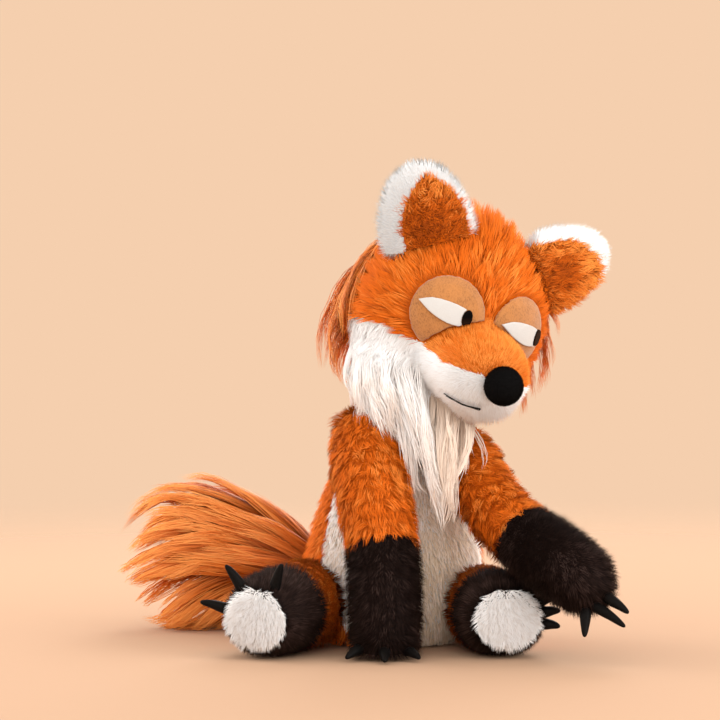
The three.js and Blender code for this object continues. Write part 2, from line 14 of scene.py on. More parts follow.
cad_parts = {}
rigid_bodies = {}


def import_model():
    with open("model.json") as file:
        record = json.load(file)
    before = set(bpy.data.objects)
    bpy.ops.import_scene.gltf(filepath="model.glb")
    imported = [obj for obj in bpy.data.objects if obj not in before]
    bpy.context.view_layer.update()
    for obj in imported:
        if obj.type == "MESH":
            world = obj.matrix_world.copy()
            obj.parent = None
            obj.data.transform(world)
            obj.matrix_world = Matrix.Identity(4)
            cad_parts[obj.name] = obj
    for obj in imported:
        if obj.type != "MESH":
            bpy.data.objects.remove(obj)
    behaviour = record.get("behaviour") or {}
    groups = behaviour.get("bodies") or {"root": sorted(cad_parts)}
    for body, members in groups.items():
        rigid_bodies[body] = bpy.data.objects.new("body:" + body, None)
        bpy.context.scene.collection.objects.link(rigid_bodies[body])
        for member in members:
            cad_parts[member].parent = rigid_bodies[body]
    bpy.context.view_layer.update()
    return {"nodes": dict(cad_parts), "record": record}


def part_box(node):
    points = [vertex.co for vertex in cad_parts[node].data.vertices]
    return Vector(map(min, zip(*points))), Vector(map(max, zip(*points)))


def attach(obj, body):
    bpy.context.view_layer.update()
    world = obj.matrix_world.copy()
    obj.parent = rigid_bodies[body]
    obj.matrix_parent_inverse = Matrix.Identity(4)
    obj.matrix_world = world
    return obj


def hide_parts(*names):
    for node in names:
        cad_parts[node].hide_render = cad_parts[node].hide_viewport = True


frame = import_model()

# A seated plush fox in long fur. Metres. It faces -Y, +Z is up and +X is its own left side.

bl_info = {
    "name": "Plush fox",
    "version": (1, 0, 0),
    "blender": (4, 5, 0),
    "location": "3D View > Sidebar > Plush fox",
    "description": "Dresses the packed fox in fur and sets it in a plain studio",
    "category": "Mesh",
}

MM = 0.001
SIDES = ("right", "left")
UP = np.array((0.0, 0.0, 1.0))
FRONT = np.array((-0.25, -0.95, 0.15))  # towards the photograph's viewer, and a little up
MOST_TRIANGLES = 190000  # in one piece
OFF_THE_SKIN = 0.0015  # where a look along a normal starts, so that it doesn't meet its own surface
PER_SQUARE_CM = 1e4  # as a number for each square metre
LOWEST_STRAND = 0.0002  # how near the floor the edge of any strand gets
LOWEST_HAIR = 0.002  # how near the floor the middle of a long hair gets
STEEPER = 30  # degrees by which the longest fur of a boosted spot stands up more
UNDERCOAT_LENGTH = 0.66  # against the bent strands over it
SHORTEST_HAIR, LONGEST_HAIR = 0.7, 1.04  # against the hair that they follow
HAIR_WEIGHT = UP * -2.6  # how strongly a long hair bends down
TAIL_BODY_END = -0.115  # from here on, the body under the tail's hair is drawn in
TAIL_TO_BACK = np.array((0.46, -0.88, -0.14))  # the way from the tail's root to the back


def rgb(code):
    """A web colour as linear values."""
    values = [int(code[i : i + 2], 16) / 255 for i in (0, 2, 4)]
    return tuple(v / 12.92 if v <= 0.04045 else ((v + 0.055) / 1.055) ** 2.4 for v in values)


def colour(name, description, code):
    return FloatVectorProperty(
        name=name, description=description, subtype="COLOR", size=3, min=0, max=1, default=rgb(code)
    )


def length(name, description, default):
    return FloatProperty(name=name, description=description, unit="LENGTH", min=0, default=default)


def number(name, description, default, least=0):
    return FloatProperty(name=name, description=description, min=least, default=default)


class FurSettings(bpy.types.PropertyGroup):
    pile: length("Pile", "Strand length of the body's fur", 0.0125)
    short_pile: length("Short pile", "Strand length on the muzzle, the ears' rims and the soles", 0.007)
    strand: length("Strand", "Width of one strand of the pile", 0.00062)
    hair: length("Hair", "Width of one long hair", 0.0008)
    mane: length("Mane", "Length of the mane's locks", 0.090)
    beard: length("Beard", "Length of the beard's locks", 0.095)
    brush: length("Brush", "Length of the tail's locks", 0.105)
    guard: number("Long strands", "Bent strands on each square centimetre", 32, least=1)
    under: number("Undercoat", "Straight strands on each square centimetre", 36, least=1)
    orange: colour("Orange", "Body of the orange fur", "e26812")
    orange_deep: colour("Deep orange", "Darkest strands of the orange fur", "d05d12")
    orange_light: colour("Light orange", "Lightest strands of the orange fur", "fb9a44")
    white: colour("White", "Body of the white fur", "ffffff")
    white_deep: colour("Deep white", "Darkest strands of the white fur", "efe9e4")
    # Painted light: the cream is the chest's own colour, made warmer to stand in for orange bounce light on
    # the shaded chest; the chest's painted shade leans towards the deep cream.
    cream: colour("Cream", "Body of the chest's fur", "fbe8d4")
    cream_deep: colour("Deep cream", "Darkest strands of the chest's fur", "e0c6a4")
    # Tuft also colours the ends of the throat's hair, as painted warm shade where that hair falls over the
    # chest.
    tuft: colour("Tuft", "Body of the beard", "e9d8c9")
    tuft_deep: colour("Deep tuft", "Darkest hairs of the beard", "cfb49e")
    locks: colour("Locks", "Body of the mane and the tail", "e2782a")
    locks_deep: colour("Deep locks", "Darkest hairs of the mane and the tail", "ac4e12")
    # Light locks also colour the ends of the mane's and the tail's hair, as a painted highlight of backlit
    # tips.
    locks_light: colour("Light locks", "Lightest hairs of the mane and the tail", "fdae5c")
    brown: colour("Brown", "Body of the dark fur", "281a15")
    brown_deep: colour("Deep brown", "Darkest strands of the dark fur", "140c0a")
    brown_light: colour("Light brown", "Lightest strands of the dark fur", "54403a")


class FaceSettings(bpy.types.PropertyGroup):
    suede: colour("Suede", "Eye discs", "ac703c")
    suede_dark: colour("Suede speckle", "Dark fibres of the eye discs", "69401f")
    felt: colour("Felt", "Whites of the eyes", "c4c0bb")
    black: colour("Black", "Nose, claws and stitching", "040303")
    # Painted reflection: the pupil's lower part is painted warm brown, standing for a reflection in its
    # gloss.
    pupil_warm: colour("Pupil", "Warm lower part of the pupils", "24140c")
    flock: length("Flock", "Length of the nose's flock", 0.0011)


class StageSettings(bpy.types.PropertyGroup):
    backdrop: colour("Backdrop", "Colour behind the toy", "f5cfae")
    floor: colour("Floor", "Colour of the floor", "bb977b")
    key: number("Key", "Power of the key light in watts", 13)
    fill: number("Fill", "Power of the fill light in watts", 28)
    rim: number("Rim", "Power of each light from behind in watts", 15)
    sky: number("Sky", "Strength of the light from all round", 1.45)


# The head's own frame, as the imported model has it
HEAD_CENTRE = np.array((0.030, -0.033, 0.261))
HEAD_YAW = math.radians(8)
HEAD_PITCH = math.radians(21)
HEAD_ROLL = math.radians(16)
HEAD_TURN = np.array(
    Matrix.Rotation(HEAD_YAW, 3, "Z")
    @ Matrix.Rotation(HEAD_PITCH, 3, "X")
    @ Matrix.Rotation(HEAD_ROLL, 3, "Y")
)
SKULL = np.array((0.080, 0.066, 0.080))
EYE_SPREAD = 0.033
EYE_HEIGHT = 0.017
EYE_RADIUS = 0.030
EYE_SPARE = 0.001  # how far the fur reaches over the rim of an eye disc

# Each ear in the head's frame: its base, tip and the way it faces, then how far the orange front
# reaches to each side of its middle, where that middle is and how high it reaches, in millimetres
EARS = {
    "right": ((-49, -14, 57), (-86, -8, 113), (-0.3, -0.95, 0.1), 26, -6, 57),
    "left": ((54, -13, 56), (109, -3, 83), (0.3, -0.95, 0.1), 38, -9, 58),
}


def unit(vectors):
    """Each vector with a length of one."""
    size = np.linalg.norm(vectors, axis=-1, keepdims=True)
    return vectors / np.maximum(size, 1e-9)


def to_head(points):
    return (points - HEAD_CENTRE) @ HEAD_TURN


def from_head(directions):
    return np.asarray(directions) @ HEAD_TURN.T


def smooth(low, high, values):
    """Rises gently from 0 at low to 1 at high, which may also be the smaller one."""
    t = np.clip((values - low) / (high - low), 0, 1)
    return t * t * (3 - 2 * t)


def centre_of(node):
    low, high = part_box(node)
    return np.array((low + high) / 2)


def scaled(shade, part):
    return [value * part for value in shade]


def lifted(shade, step):
    return [value + step for value in shade]


# Materials


class Term:
    """A value in a material, which Python arithmetic joins with Math nodes."""

    def __init__(self, recipe, socket):
        self.recipe = recipe
        self.socket = socket

    def maths(self, operation, *values):
        return self.recipe.node("ShaderNodeMath", {"operation": operation}, *values)

    def __radd__(self, other):
        return self.maths("ADD", other, self)

    def __sub__(self, other):
        return self.maths("SUBTRACT", self, other)

    def __rsub__(self, other):
        return self.maths("SUBTRACT", other, self)

    def __mul__(self, other):
        return self.maths("MULTIPLY", self, other)

    def __rmul__(self, other):
        return self.maths("MULTIPLY", other, self)


class Recipe:
    """One material and the nodes that make it."""

    def __init__(self, name, roughness, specular, sheen=0.0):
        self.material = bpy.data.materials.new(name)
        self.material.use_nodes = True
        self.tree = self.material.node_tree
        self.shader = self.tree.nodes["Principled BSDF"]
        self.shader.inputs["Roughness"].default_value = roughness
        self.shader.inputs["Specular IOR Level"].default_value = specular
        self.shader.inputs["Sheen Weight"].default_value = sheen

    def feed(self, socket, value):
        """Links a term to a socket or sets the socket's own value."""
        if isinstance(value, Term):
            self.tree.links.new(value.socket, socket)
        elif value is not None:
            socket.default_value = value

    def node(self, kind, settings=None, *values, output=0, **named):
        """A node with its settings and what goes into it, as one of its outputs."""
        made = self.tree.nodes.new(kind)
        for key, value in (settings or {}).items():
            if key == "stops":
                self.set_stops(made.color_ramp, value)
            else:
                setattr(made, key, value)
        for key, value in (*enumerate(values), *named.items()):
            self.feed(made.inputs[key], value)
        return Term(self, made.outputs[output])

    def set_stops(self, ramp, stops):
        while len(ramp.elements) < len(stops):
            ramp.elements.new(0.5)
        for element, (position, shade) in zip(ramp.elements, stops):
            element.position = position
            element.color = (*shade, 1)

    def place(self):
        return self.node("ShaderNodeTexCoord", output=3)

    def part_of(self, vector, axis):
        return self.node("ShaderNodeSeparateXYZ", {}, vector, output=axis)

    def noise(self, scale, detail=3, roughness=0.55, stretch=None):
        where = self.place()
        if stretch:
            where = self.node("ShaderNodeMapping", {}, where, Scale=stretch)
        values = {"Vector": where, "Scale": scale, "Detail": detail, "Roughness": roughness}
        return self.node("ShaderNodeTexNoise", **values)

    def step(self, value, low, high):
        settings = {"interpolation_type": "SMOOTHSTEP"}
        values = {"Value": value, "From Min": low, "From Max": high}
        return self.node("ShaderNodeMapRange", settings, **values)

    def mix(self, factor, first, second):
        made = self.tree.nodes.new("ShaderNodeMix")
        made.data_type = "RGBA"
        for index, value in ((0, factor), (6, first), (7, second)):
            if index and not isinstance(value, Term):
                value = (*value, 1)
            self.feed(made.inputs[index], value)
        return Term(self, made.outputs[2])

    def bump(self, height, distance):
        values = {"Height": height, "Distance": distance, "Strength": 1.0}
        self.feed(self.shader.inputs["Normal"], self.node("ShaderNodeBump", {}, **values))

    def finish(self, base, roughness=None):
        self.feed(self.shader.inputs["Base Color"], base)
        self.feed(self.shader.inputs["Roughness"], roughness)
        return self.material


UV_NAME = "OFBake"  # across: the strand's tone, and along: from root to tip


def fur_finish(name, deep, body, light, root=0.8, tip=None, roughness=0.65, specular=0.08):
    """Fur whose tone changes from strand to strand, with a darker root and, where tip is given, an
    end of that colour."""
    recipe = Recipe(name, roughness, specular)
    where = recipe.node("ShaderNodeUVMap", {"uv_map": UV_NAME})
    tone, along = recipe.part_of(where, 0), recipe.part_of(where, 1)
    stops = ((0.0, deep), (0.5, body), (1.0, light))
    shade = recipe.node("ShaderNodeValToRGB", {"stops": stops}, tone)
    rooted = recipe.mix(recipe.step(along, 0.0, 0.6), scaled(deep, root), shade)
    # The tip colour is painted light on the ends of the hair: a painted highlight of backlit tips on the
    # orange locks, and painted warm shade on the throat's hair.
    if tip:
        rooted = recipe.mix(recipe.step(along, 0.4, 1.0) * 0.75, rooted, tip)
    return recipe.finish(rooted)


def lining_finish(name, shade):
    recipe = Recipe(name, 0.9, specular=0.05)
    blotch = recipe.noise(90, detail=4)
    recipe.bump(recipe.noise(1400, detail=2), 0.0004)
    # Painted shade: the lining is painted at 0.7 to 0.9 of its fur's colour, in blotches, standing for the
    # shade deep in the pile.
    return recipe.finish(recipe.mix(blotch, scaled(shade, 0.7), scaled(shade, 0.9)))


def suede_finish(face):
    recipe = Recipe("suede", 0.85, specular=0.2, sheen=0.35)
    speckle = recipe.step(recipe.noise(1100, detail=4, roughness=0.7, stretch=(1, 1, 0.5)), 0.47, 0.62)
    cloud = recipe.step(recipe.noise(70, detail=4), 0.35, 0.7)
    base = recipe.mix(speckle * 0.6, face.suede, face.suede_dark)
    shade = recipe.mix(cloud * 0.55, base, scaled(face.suede, 1.2))
    recipe.bump(recipe.noise(1500, detail=3), 0.0003)
    return recipe.finish(shade, 0.78 + 0.15 * cloud)


def felt_finish(face):
    recipe = Recipe("felt", 0.8, specular=0.2, sheen=0.2)
    fibres = recipe.noise(1100, detail=4, stretch=(1, 0.4, 1))
    recipe.bump(fibres, 0.0002)
    return recipe.finish(recipe.mix(fibres * 0.35, face.felt, scaled(face.felt, 0.86)))


def pupil_finish(face, low, high):
    recipe = Recipe("pupil_gloss", 0.25, specular=0.04)
    height = recipe.part_of(recipe.place(), 2)
    # Painted reflection: warm brown towards the bottom of the pupil.
    painted_reflection = 1 - recipe.step(height, low, low + 0.6 * (high - low))
    smear = recipe.noise(260, detail=3)
    return recipe.finish(recipe.mix(painted_reflection, face.black, face.pupil_warm), 0.2 + 0.1 * smear)


def black_finish(name, face, roughness, grain, depth, specular=0.2):
    recipe = Recipe(name, roughness, specular)
    spots = recipe.noise(grain, detail=3)
    recipe.bump(spots, depth)
    shade = recipe.mix(spots, face.black, lifted(face.black, 0.006))
    return recipe.finish(shade, roughness + 0.25 * (spots - 0.5))


def canvas_finish():
    recipe = Recipe("canvas", 0.9, specular=0.2)
    threads = [
        recipe.node("ShaderNodeTexWave", {"bands_direction": axis}, Vector=recipe.place(), Scale=420)
        for axis in ("X", "Y")
    ]
    weave = threads[0] * threads[1]
    recipe.bump(weave, 0.0003)
    return recipe.finish(recipe.mix(weave, rgb("a99c88"), rgb("dcd2c2")))


# Meshes


def add_object(name, data):
    """A new object in the scene, which shows the data."""
    made = bpy.data.objects.new(name, data)
    bpy.context.scene.collection.objects.link(made)
    return made


def deselect():
    if bpy.context.object and bpy.context.object.mode != "OBJECT":
        bpy.ops.object.mode_set(mode="OBJECT")
    bpy.ops.object.select_all(action="DESELECT")


def take(piece):
    deselect()
    piece.select_set(True)
    bpy.context.view_layer.objects.active = piece


def copy_of(nodes, name):
    """A merged copy of CAD nodes, as one new object."""
    parts = []
    for node in nodes:
        part = add_object(name, frame["nodes"][node].data.copy())
        part.data.materials.clear()
        parts.append(part)
    deselect()
    for part in parts:
        part.select_set(True)
    piece = parts[0]
    bpy.context.view_layer.objects.active = piece
    if len(parts) > 1:
        bpy.ops.object.join()
    bpy.ops.object.mode_set(mode="EDIT")
    bpy.ops.mesh.select_all(action="SELECT")
    bpy.ops.mesh.remove_doubles(threshold=0.00001)
    bpy.ops.object.mode_set(mode="OBJECT")
    piece.data.name = name
    for layer in list(piece.data.uv_layers):
        piece.data.uv_layers.remove(layer)
    return piece


def modify(piece, kind, **settings):
    take(piece)
    modifier = piece.modifiers.new(kind.title(), kind)
    for key, value in settings.items():
        setattr(modifier, key, value)
    bpy.ops.object.modifier_apply(modifier=modifier.name)


def keep_largest(piece):
    """Leaves the biggest of a mesh's separate bodies."""
    shape = bmesh.new()
    shape.from_mesh(piece.data)
    left = set(shape.verts)
    bodies = []
    while left:
        body = []
        edge = [left.pop()]
        while edge:
            vertex = edge.pop()
            body.append(vertex)
            for link in vertex.link_edges:
                other = link.other_vert(vertex)
                if other in left:
                    left.remove(other)
                    edge.append(other)
        bodies.append(body)
    bodies.sort(key=len)
    for body in bodies[:-1]:
        bmesh.ops.delete(shape, geom=body, context="VERTS")
    shape.to_mesh(piece.data)
    shape.free()


def smooth_copy(nodes, name, voxel, rounds, inset=0.0):
    """A copy of CAD nodes as one smooth skin, drawn in by inset."""
    piece = copy_of(nodes, name)
    modify(piece, "REMESH", mode="VOXEL", voxel_size=voxel)
    keep_largest(piece)
    modify(piece, "SMOOTH", factor=0.5, iterations=rounds)
    if inset:
        modify(piece, "DISPLACE", strength=-inset, mid_level=0.0, direction="NORMAL")
        modify(piece, "SMOOTH", factor=0.5, iterations=4)
    piece.data.shade_smooth()
    return piece


def wear(piece, body, slot, *materials):
    """Puts the materials on a piece and lets it ride on its body."""
    piece.data.materials.clear()
    for material in materials:
        piece.data.materials.append(material)
    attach(piece, body)


def read(rows, key, kind=np.float32):
    """Three numbers of each vertex or face, as an array."""
    values = np.empty(len(rows) * 3, kind)
    rows.foreach_get(key, values)
    return values.reshape(-1, 3)


def corners(piece):
    return read(piece.data.vertices, "co").astype(float)


def triangles(piece):
    piece.data.calc_loop_triangles()
    return read(piece.data.loop_triangles, "vertices", np.int32)


def tree_of(pieces):
    """One search tree over the surfaces of several pieces."""
    points, faces, offset = [], [], 0
    for piece in pieces:
        spots = corners(piece)
        points.extend(map(tuple, spots))
        faces.extend(map(tuple, triangles(piece) + offset))
        offset += len(spots)
    return BVHTree.FromPolygons(points, faces)


def solids(*nodes):
    """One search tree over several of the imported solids."""
    return tree_of([frame["nodes"][node] for node in nodes])


HEAD_NODES = ("skull", "muzzle_top", "muzzle_chin", "cheek_right", "cheek_left", "throat_ruff")
# Linings: the stuffed cloth body under each fur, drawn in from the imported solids. Each has the nodes
# that it stands for, its body, how far it is drawn in and how finely it is made, in millimetres.
LININGS = {
    "torso_lining": (("torso_back", "chest_panel"), "torso", 3.0, 4.0),
    "neck_lining": (("neck_roll",), "neck", 3.0, 4.0),
    "head_lining": (HEAD_NODES, "head", 3.0, 3.0),
    "ear_lining_right": (("ear_shell_right", "ear_front_right"), "head", 2.5, 2.5),
    "ear_lining_left": (("ear_shell_left", "ear_front_left"), "head", 2.5, 2.5),
    "arm_lining_right": (("sleeve_right", "forearm_right"), "arm_right", 3.5, 3.5),
    "arm_lining_left": (("sleeve_left", "forearm_left"), "arm_left", 3.5, 3.5),
    "leg_lining_right": (("thigh_right", "foot_right", "sole_right"), "leg_right", 3.5, 3.5),
    "leg_lining_left": (("thigh_left", "foot_left", "sole_left"), "leg_left", 3.5, 3.5),
    "tail_lining": (("tail",), "tail", 12.0, 4.0),
}
SLOT_OF = {row["node"]: row["material_slot"] for row in frame["record"]["subparts"]}
FUR_OF_SLOT = {
    "orange_fur": "orange",
    "long_orange_fur": "orange",
    "white_fur": "white",
    "cream_fur": "white",
    "brown_fur": "brown",
}


def make_linings(settings):
    shades = {"orange": settings.orange, "white": settings.white, "brown": settings.brown}
    finishes = {name: lining_finish(f"lining_{name}", shade) for name, shade in shades.items()}
    for name, (nodes, body, inset, voxel) in LININGS.items():
        piece = smooth_copy(nodes, name, voxel * MM, rounds=10, inset=inset * MM)
        kinds = [FUR_OF_SLOT[SLOT_OF[node]] for node in nodes]
        used = list(dict.fromkeys(kinds))
        wear(piece, body, SLOT_OF[nodes[0]], *[finishes[kind] for kind in used])
        if name == "tail_lining":
            draw_in_tail(piece)
            bring_to_the_back(piece, inset * MM)
        owners = owning_nodes(read(piece.data.polygons, "center"), nodes)
        slots = np.array([used.index(kinds[owner]) for owner in owners], np.int32)
        piece.data.polygons.foreach_set("material_index", slots)
        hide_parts(*nodes)


def draw_in_tail(piece):
    """Shortens the tail's body and thins it from below, so that its locks end in separate points."""
    middle_height, thin_from, thin_over = 0.062, -0.110, 0.035
    for vertex in piece.data.vertices:
        low = min(vertex.co.z - middle_height, 0.0)
        vertex.co.z -= low * 0.6 * min(max((thin_from - vertex.co.x) / thin_over, 0.0), 1.0)
        vertex.co.x = max(vertex.co.x, TAIL_BODY_END) + 0.4 * min(vertex.co.x - TAIL_BODY_END, 0)


def bring_to_the_back(piece, inset):
    """Lengthens the root of the tail's body again, so that it meets the back."""
    way, root = Vector(TAIL_TO_BACK), Vector(TAIL_LINE[0])
    stretched, spare = 0.020, 0.004
    for vertex in piece.data.vertices:
        share = min(max(1 + (vertex.co - root).dot(way) / stretched, 0.0), 1.0)
        vertex.co += way * (inset - spare) * share * share


def nearest_nodes(points, nodes):
    """For each point, the index of the CAD node whose surface is nearest."""
    if len(nodes) == 1:
        return np.zeros(len(points), int)
    trees = [solids(node) for node in nodes]
    found = []
    for point in points:
        far = [tree.find_nearest(point)[3] for tree in trees]
        found.append(far.index(min(far)))
    return np.array(found)


def white_line(here):
    """The height in the head's frame under which its fur is white."""
    back, front = smooth(-0.030, -0.008, here[:, 1]), smooth(-0.095, -0.115, here[:, 1])
    return -0.012 - 0.007 * back + 0.005 * front + 0.001 * np.sin(here[:, 1] * 300)


def on_ear_front(points, side):
    """Which points lie on the orange front of an ear: an arch that is narrower towards its top."""
    base, tip, faces, half, middle, top = (np.array(row) for row in EARS[side])
    up = unit(tip - base)
    front = unit(faces - up * (faces @ up))
    away = to_head(points) / MM - base
    reach = half * (1 - np.clip(away @ up / top, 0, 1) ** 3.2)
    return (np.abs(away @ np.cross(front, up) - middle) < reach) & (away @ front > 0)


# How far the dark fur of each foot reaches behind the middle of its sole
FOOT_REACH = {"right": 0.058, "left": 0.050}
FOOT_DEPTH = 0.020  # nearer than this to the sole's middle, no thigh shows
SOLE_DEPTH = 0.002  # the white oval lies on the sole's face alone
# The white oval of each sole: half its length, half its width, the lean of its top in degrees, and
# how far its middle is moved to the toy's left and upwards
OVALS = {"right": (0.039, 0.028, -35, -0.0025, -0.004), "left": (0.041, 0.029, 55, 0, -0.002)}


def on_oval(away, way, side):
    """Which of the places away from a sole's middle lie on its white oval."""
    length, width, lean, left, up = OVALS[side]
    across = unit(np.cross(UP, way))
    away = away - across * left - np.cross(way, across) * up
    turn = math.radians(lean)
    long_way = across * math.sin(turn) + np.cross(way, across) * math.cos(turn)
    return (away @ long_way / length) ** 2 + (away @ np.cross(way, long_way) / width) ** 2 < 1


def owning_nodes(points, nodes):
    """For each point, the index of the node whose fabric lies there."""
    side = nodes[0].rsplit("_", 1)[-1]
    if nodes[0].startswith("ear_shell"):
        return on_ear_front(points, side).astype(int)
    owners = nearest_nodes(points, nodes)
    if nodes[0].startswith("thigh"):
        sole, foot = centre_of(f"sole_{side}"), centre_of(f"foot_{side}")
        way = unit(sole - foot)
        behind = (sole - points) @ way
        thigh_fur, foot_fur, sole_fur = 0, 1, 2
        owners[(owners == sole_fur) | ((owners == thigh_fur) & (behind < FOOT_DEPTH))] = foot_fur
        owners[(owners == foot_fur) & (behind > FOOT_REACH[side])] = thigh_fur
        owners[(behind < SOLE_DEPTH) & on_oval(points - sole, way, side)] = sole_fur
    if "skull" in nodes:
        here = to_head(points)
        white = here[:, 2] < white_line(here)
        skull, top, chin = (nodes.index(name) for name in ("skull", "muzzle_top", "muzzle_chin"))
        snout = (owners == top) | (owners == chin)
        owners[snout & white] = chin
        owners[snout & ~white] = top
        for sign, name in ((-1, "cheek_right"), (1, "cheek_left")):
            cheek = nodes.index(name)
            owners[(owners == cheek) & ~white] = skull
            before_the_ears = here[:, 1] < 0.010
            owners[(owners == skull) & white & before_the_ears & (here[:, 0] * sign > 0)] = cheek
    return owners


# Fur. A flow gives the way that the fur is brushed at each of some points.


@dataclass
class Coat:
    """How one kind of fur grows. Lengths are in metres, angles in degrees."""

    length: float
    width: float
    density: float = 1.0  # against the settings' number of strands
    rise: float = 35  # how steeply a strand leaves the skin
    fall: float = 12  # and how steeply it ends
    droop: float = 0.2  # how much its end bends down
    clump: float = 0.35  # how far the strands of a tuft close up
    clump_size: float = 0.006
    mess: float = 14  # how far the strands and the tufts turn from the flow
    uneven: float = 0.3  # the share of its length that a strand may lack
    wave: float = 0.0  # how far a strand sways to its sides
    steps: int = 2  # the straight parts of a strand
    boost: Callable = None  # where the fur stands up longer, from 0 to 1
    gain: float = 0.45  # how much longer it is there
    tone: Callable = None  # what is added to the tone of a strand

    def __post_init__(self):
        if self.steps == 1:
            self.fall = self.rise

    def boosted(self, points):
        return self.boost(points) if self.boost else np.zeros(len(points))

    def toned(self, points):
        return self.tone(points) if self.tone else np.zeros(len(points))


def scatter(piece, per_square_metre, rng):
    """Evenly scattered points on a piece, with the way its smooth surface faces at each."""
    points = corners(piece)
    faces = triangles(piece)
    normals = read(piece.data.vertices, "normal")
    a, b, c = (points[faces[:, i]] for i in range(3))
    areas = np.linalg.norm(np.cross(b - a, c - a), axis=1) / 2
    reach = np.cumsum(areas)
    count = int(reach[-1] * per_square_metre)
    spots = (np.arange(count) + rng.random(count)) * reach[-1] / count
    chosen = np.minimum(np.searchsorted(reach, spots), len(faces) - 1)
    first = np.sqrt(rng.random(count))
    second = rng.random(count)
    shares = np.stack((1 - first, first * (1 - second), first * second), 1)
    picked = faces[chosen]
    at = np.einsum("nk,nkj->nj", shares, points[picked])
    facing = unit(np.einsum("nk,nkj->nj", shares, normals[picked]))
    return at, facing


def room_over(points, facing, tree, reach):
    """How far each point can see along its normal, up to reach."""
    room = np.full(len(points), reach)
    for i, (point, way) in enumerate(zip(points, facing)):
        start = Vector(point + way * OFF_THE_SKIN)
        hit = tree.ray_cast(start, Vector(way), reach)
        if hit[0] is not None:
            room[i] = hit[3]
    return room


def leaders_of(points, size):
    """Groups points round leaders about size apart: each point's leader, as an index."""
    grid = {}
    cells = np.floor(points / size).astype(int)
    leaders = []
    for index, cell in enumerate(map(tuple, cells)):
        if cell not in grid:
            grid[cell] = index
            leaders.append(index)
    tree = KDTree(len(leaders))
    for index in leaders:
        tree.insert(points[index], index)
    tree.balance()
    return np.array([tree.find(point)[1] for point in points])


def spun(directions, axes, degrees):
    """Turns each direction about its own axis."""
    turn = np.radians(degrees)[:, None]
    return directions * np.cos(turn) + np.cross(axes, directions) * np.sin(turn)


def blotches(points, size, seed):
    """Smooth variation from 0 to 1 over space, with features about size across."""
    rng = np.random.default_rng(seed)
    total = np.zeros(len(points))
    for _ in range(5):
        wave = unit(rng.normal(size=3)) * 2 * math.pi / (size * rng.uniform(0.7, 1.6))
        total += np.sin(points @ wave + rng.uniform(0, 2 * math.pi))
    return np.clip(0.5 + total / 7, 0, 1)


def along_skin(flow, facing):
    """The part of each way that runs along the surface."""
    return unit(flow - np.sum(flow * facing, 1, keepdims=True) * facing)


def comb(points, facing, flow, coat, rng, room=None):
    """The path of every strand, from its root to its tip."""
    count = len(points)
    leaders = leaders_of(points, coat.clump_size)
    group_mess = rng.normal(0, coat.mess, count)[leaders]
    group_rise = rng.normal(0, coat.mess * 0.5, count)[leaders]
    spin = group_mess + rng.normal(0, coat.mess * 0.5, count)
    across = spun(along_skin(flow, facing), facing, spin)
    boost = coat.boosted(points)
    lift = STEEPER * boost
    rise = np.radians(np.clip(coat.rise + lift + group_rise + rng.normal(0, 5, count), 4, 88))
    fall = np.radians(np.clip(coat.fall + lift + group_rise * 0.5 + rng.normal(0, 4, count), 0, 85))
    sizes = coat.length * (1 - coat.uneven * rng.random(count))
    sizes *= 1 - 0.5 * coat.uneven * rng.random(count)[leaders]
    sizes *= 1 + coat.gain * boost
    if room is not None:
        sizes = np.minimum(sizes, room * 1.1)
    paths = [points]
    for step in range(coat.steps):
        t = (step + 0.5) / coat.steps
        tilt = (rise * (1 - t) + fall * t)[:, None]
        way = facing * np.sin(tilt) + across * np.cos(tilt) - UP * coat.droop * t
        paths.append(paths[-1] + unit(way) * (sizes / coat.steps)[:, None])
    paths = np.stack(paths, 1)
    if coat.wave:
        sideways = np.cross(facing, across)
        phase = rng.uniform(0, 2 * math.pi, count)
        for step in range(1, coat.steps + 1):
            swing = np.sin(phase + 4.5 * step / coat.steps) - np.sin(phase)
            paths[:, step] += sideways * (coat.wave * swing)[:, None]
    gathered = paths[leaders]
    for step in range(1, coat.steps + 1):
        pull = coat.clump * (step / coat.steps) ** 1.4
        reach = np.linalg.norm(gathered[:, 0] - paths[:, 0], axis=1, keepdims=True)
        near = np.clip(1.6 - reach / coat.clump_size, 0, 1)
        paths[:, step] += (gathered[:, step] - paths[:, step]) * pull * near
    return paths, leaders


TAPER = {1: (1.1,), 2: (0.9, 0.95)}  # the width of each ring of a short strand
THICKNESS = 0.3  # of a strand, against its width
UV_APART = 0.004  # keeps the two edges of a strand apart in its UV layer


def widths_for(rings):
    """The width of each ring, against the strand's own width."""
    if rings in TAPER:
        return np.array(TAPER[rings])
    t = np.linspace(0, 1, rings + 1)[:-1]
    return 0.7 + 0.6 * t - 1.1 * t**3


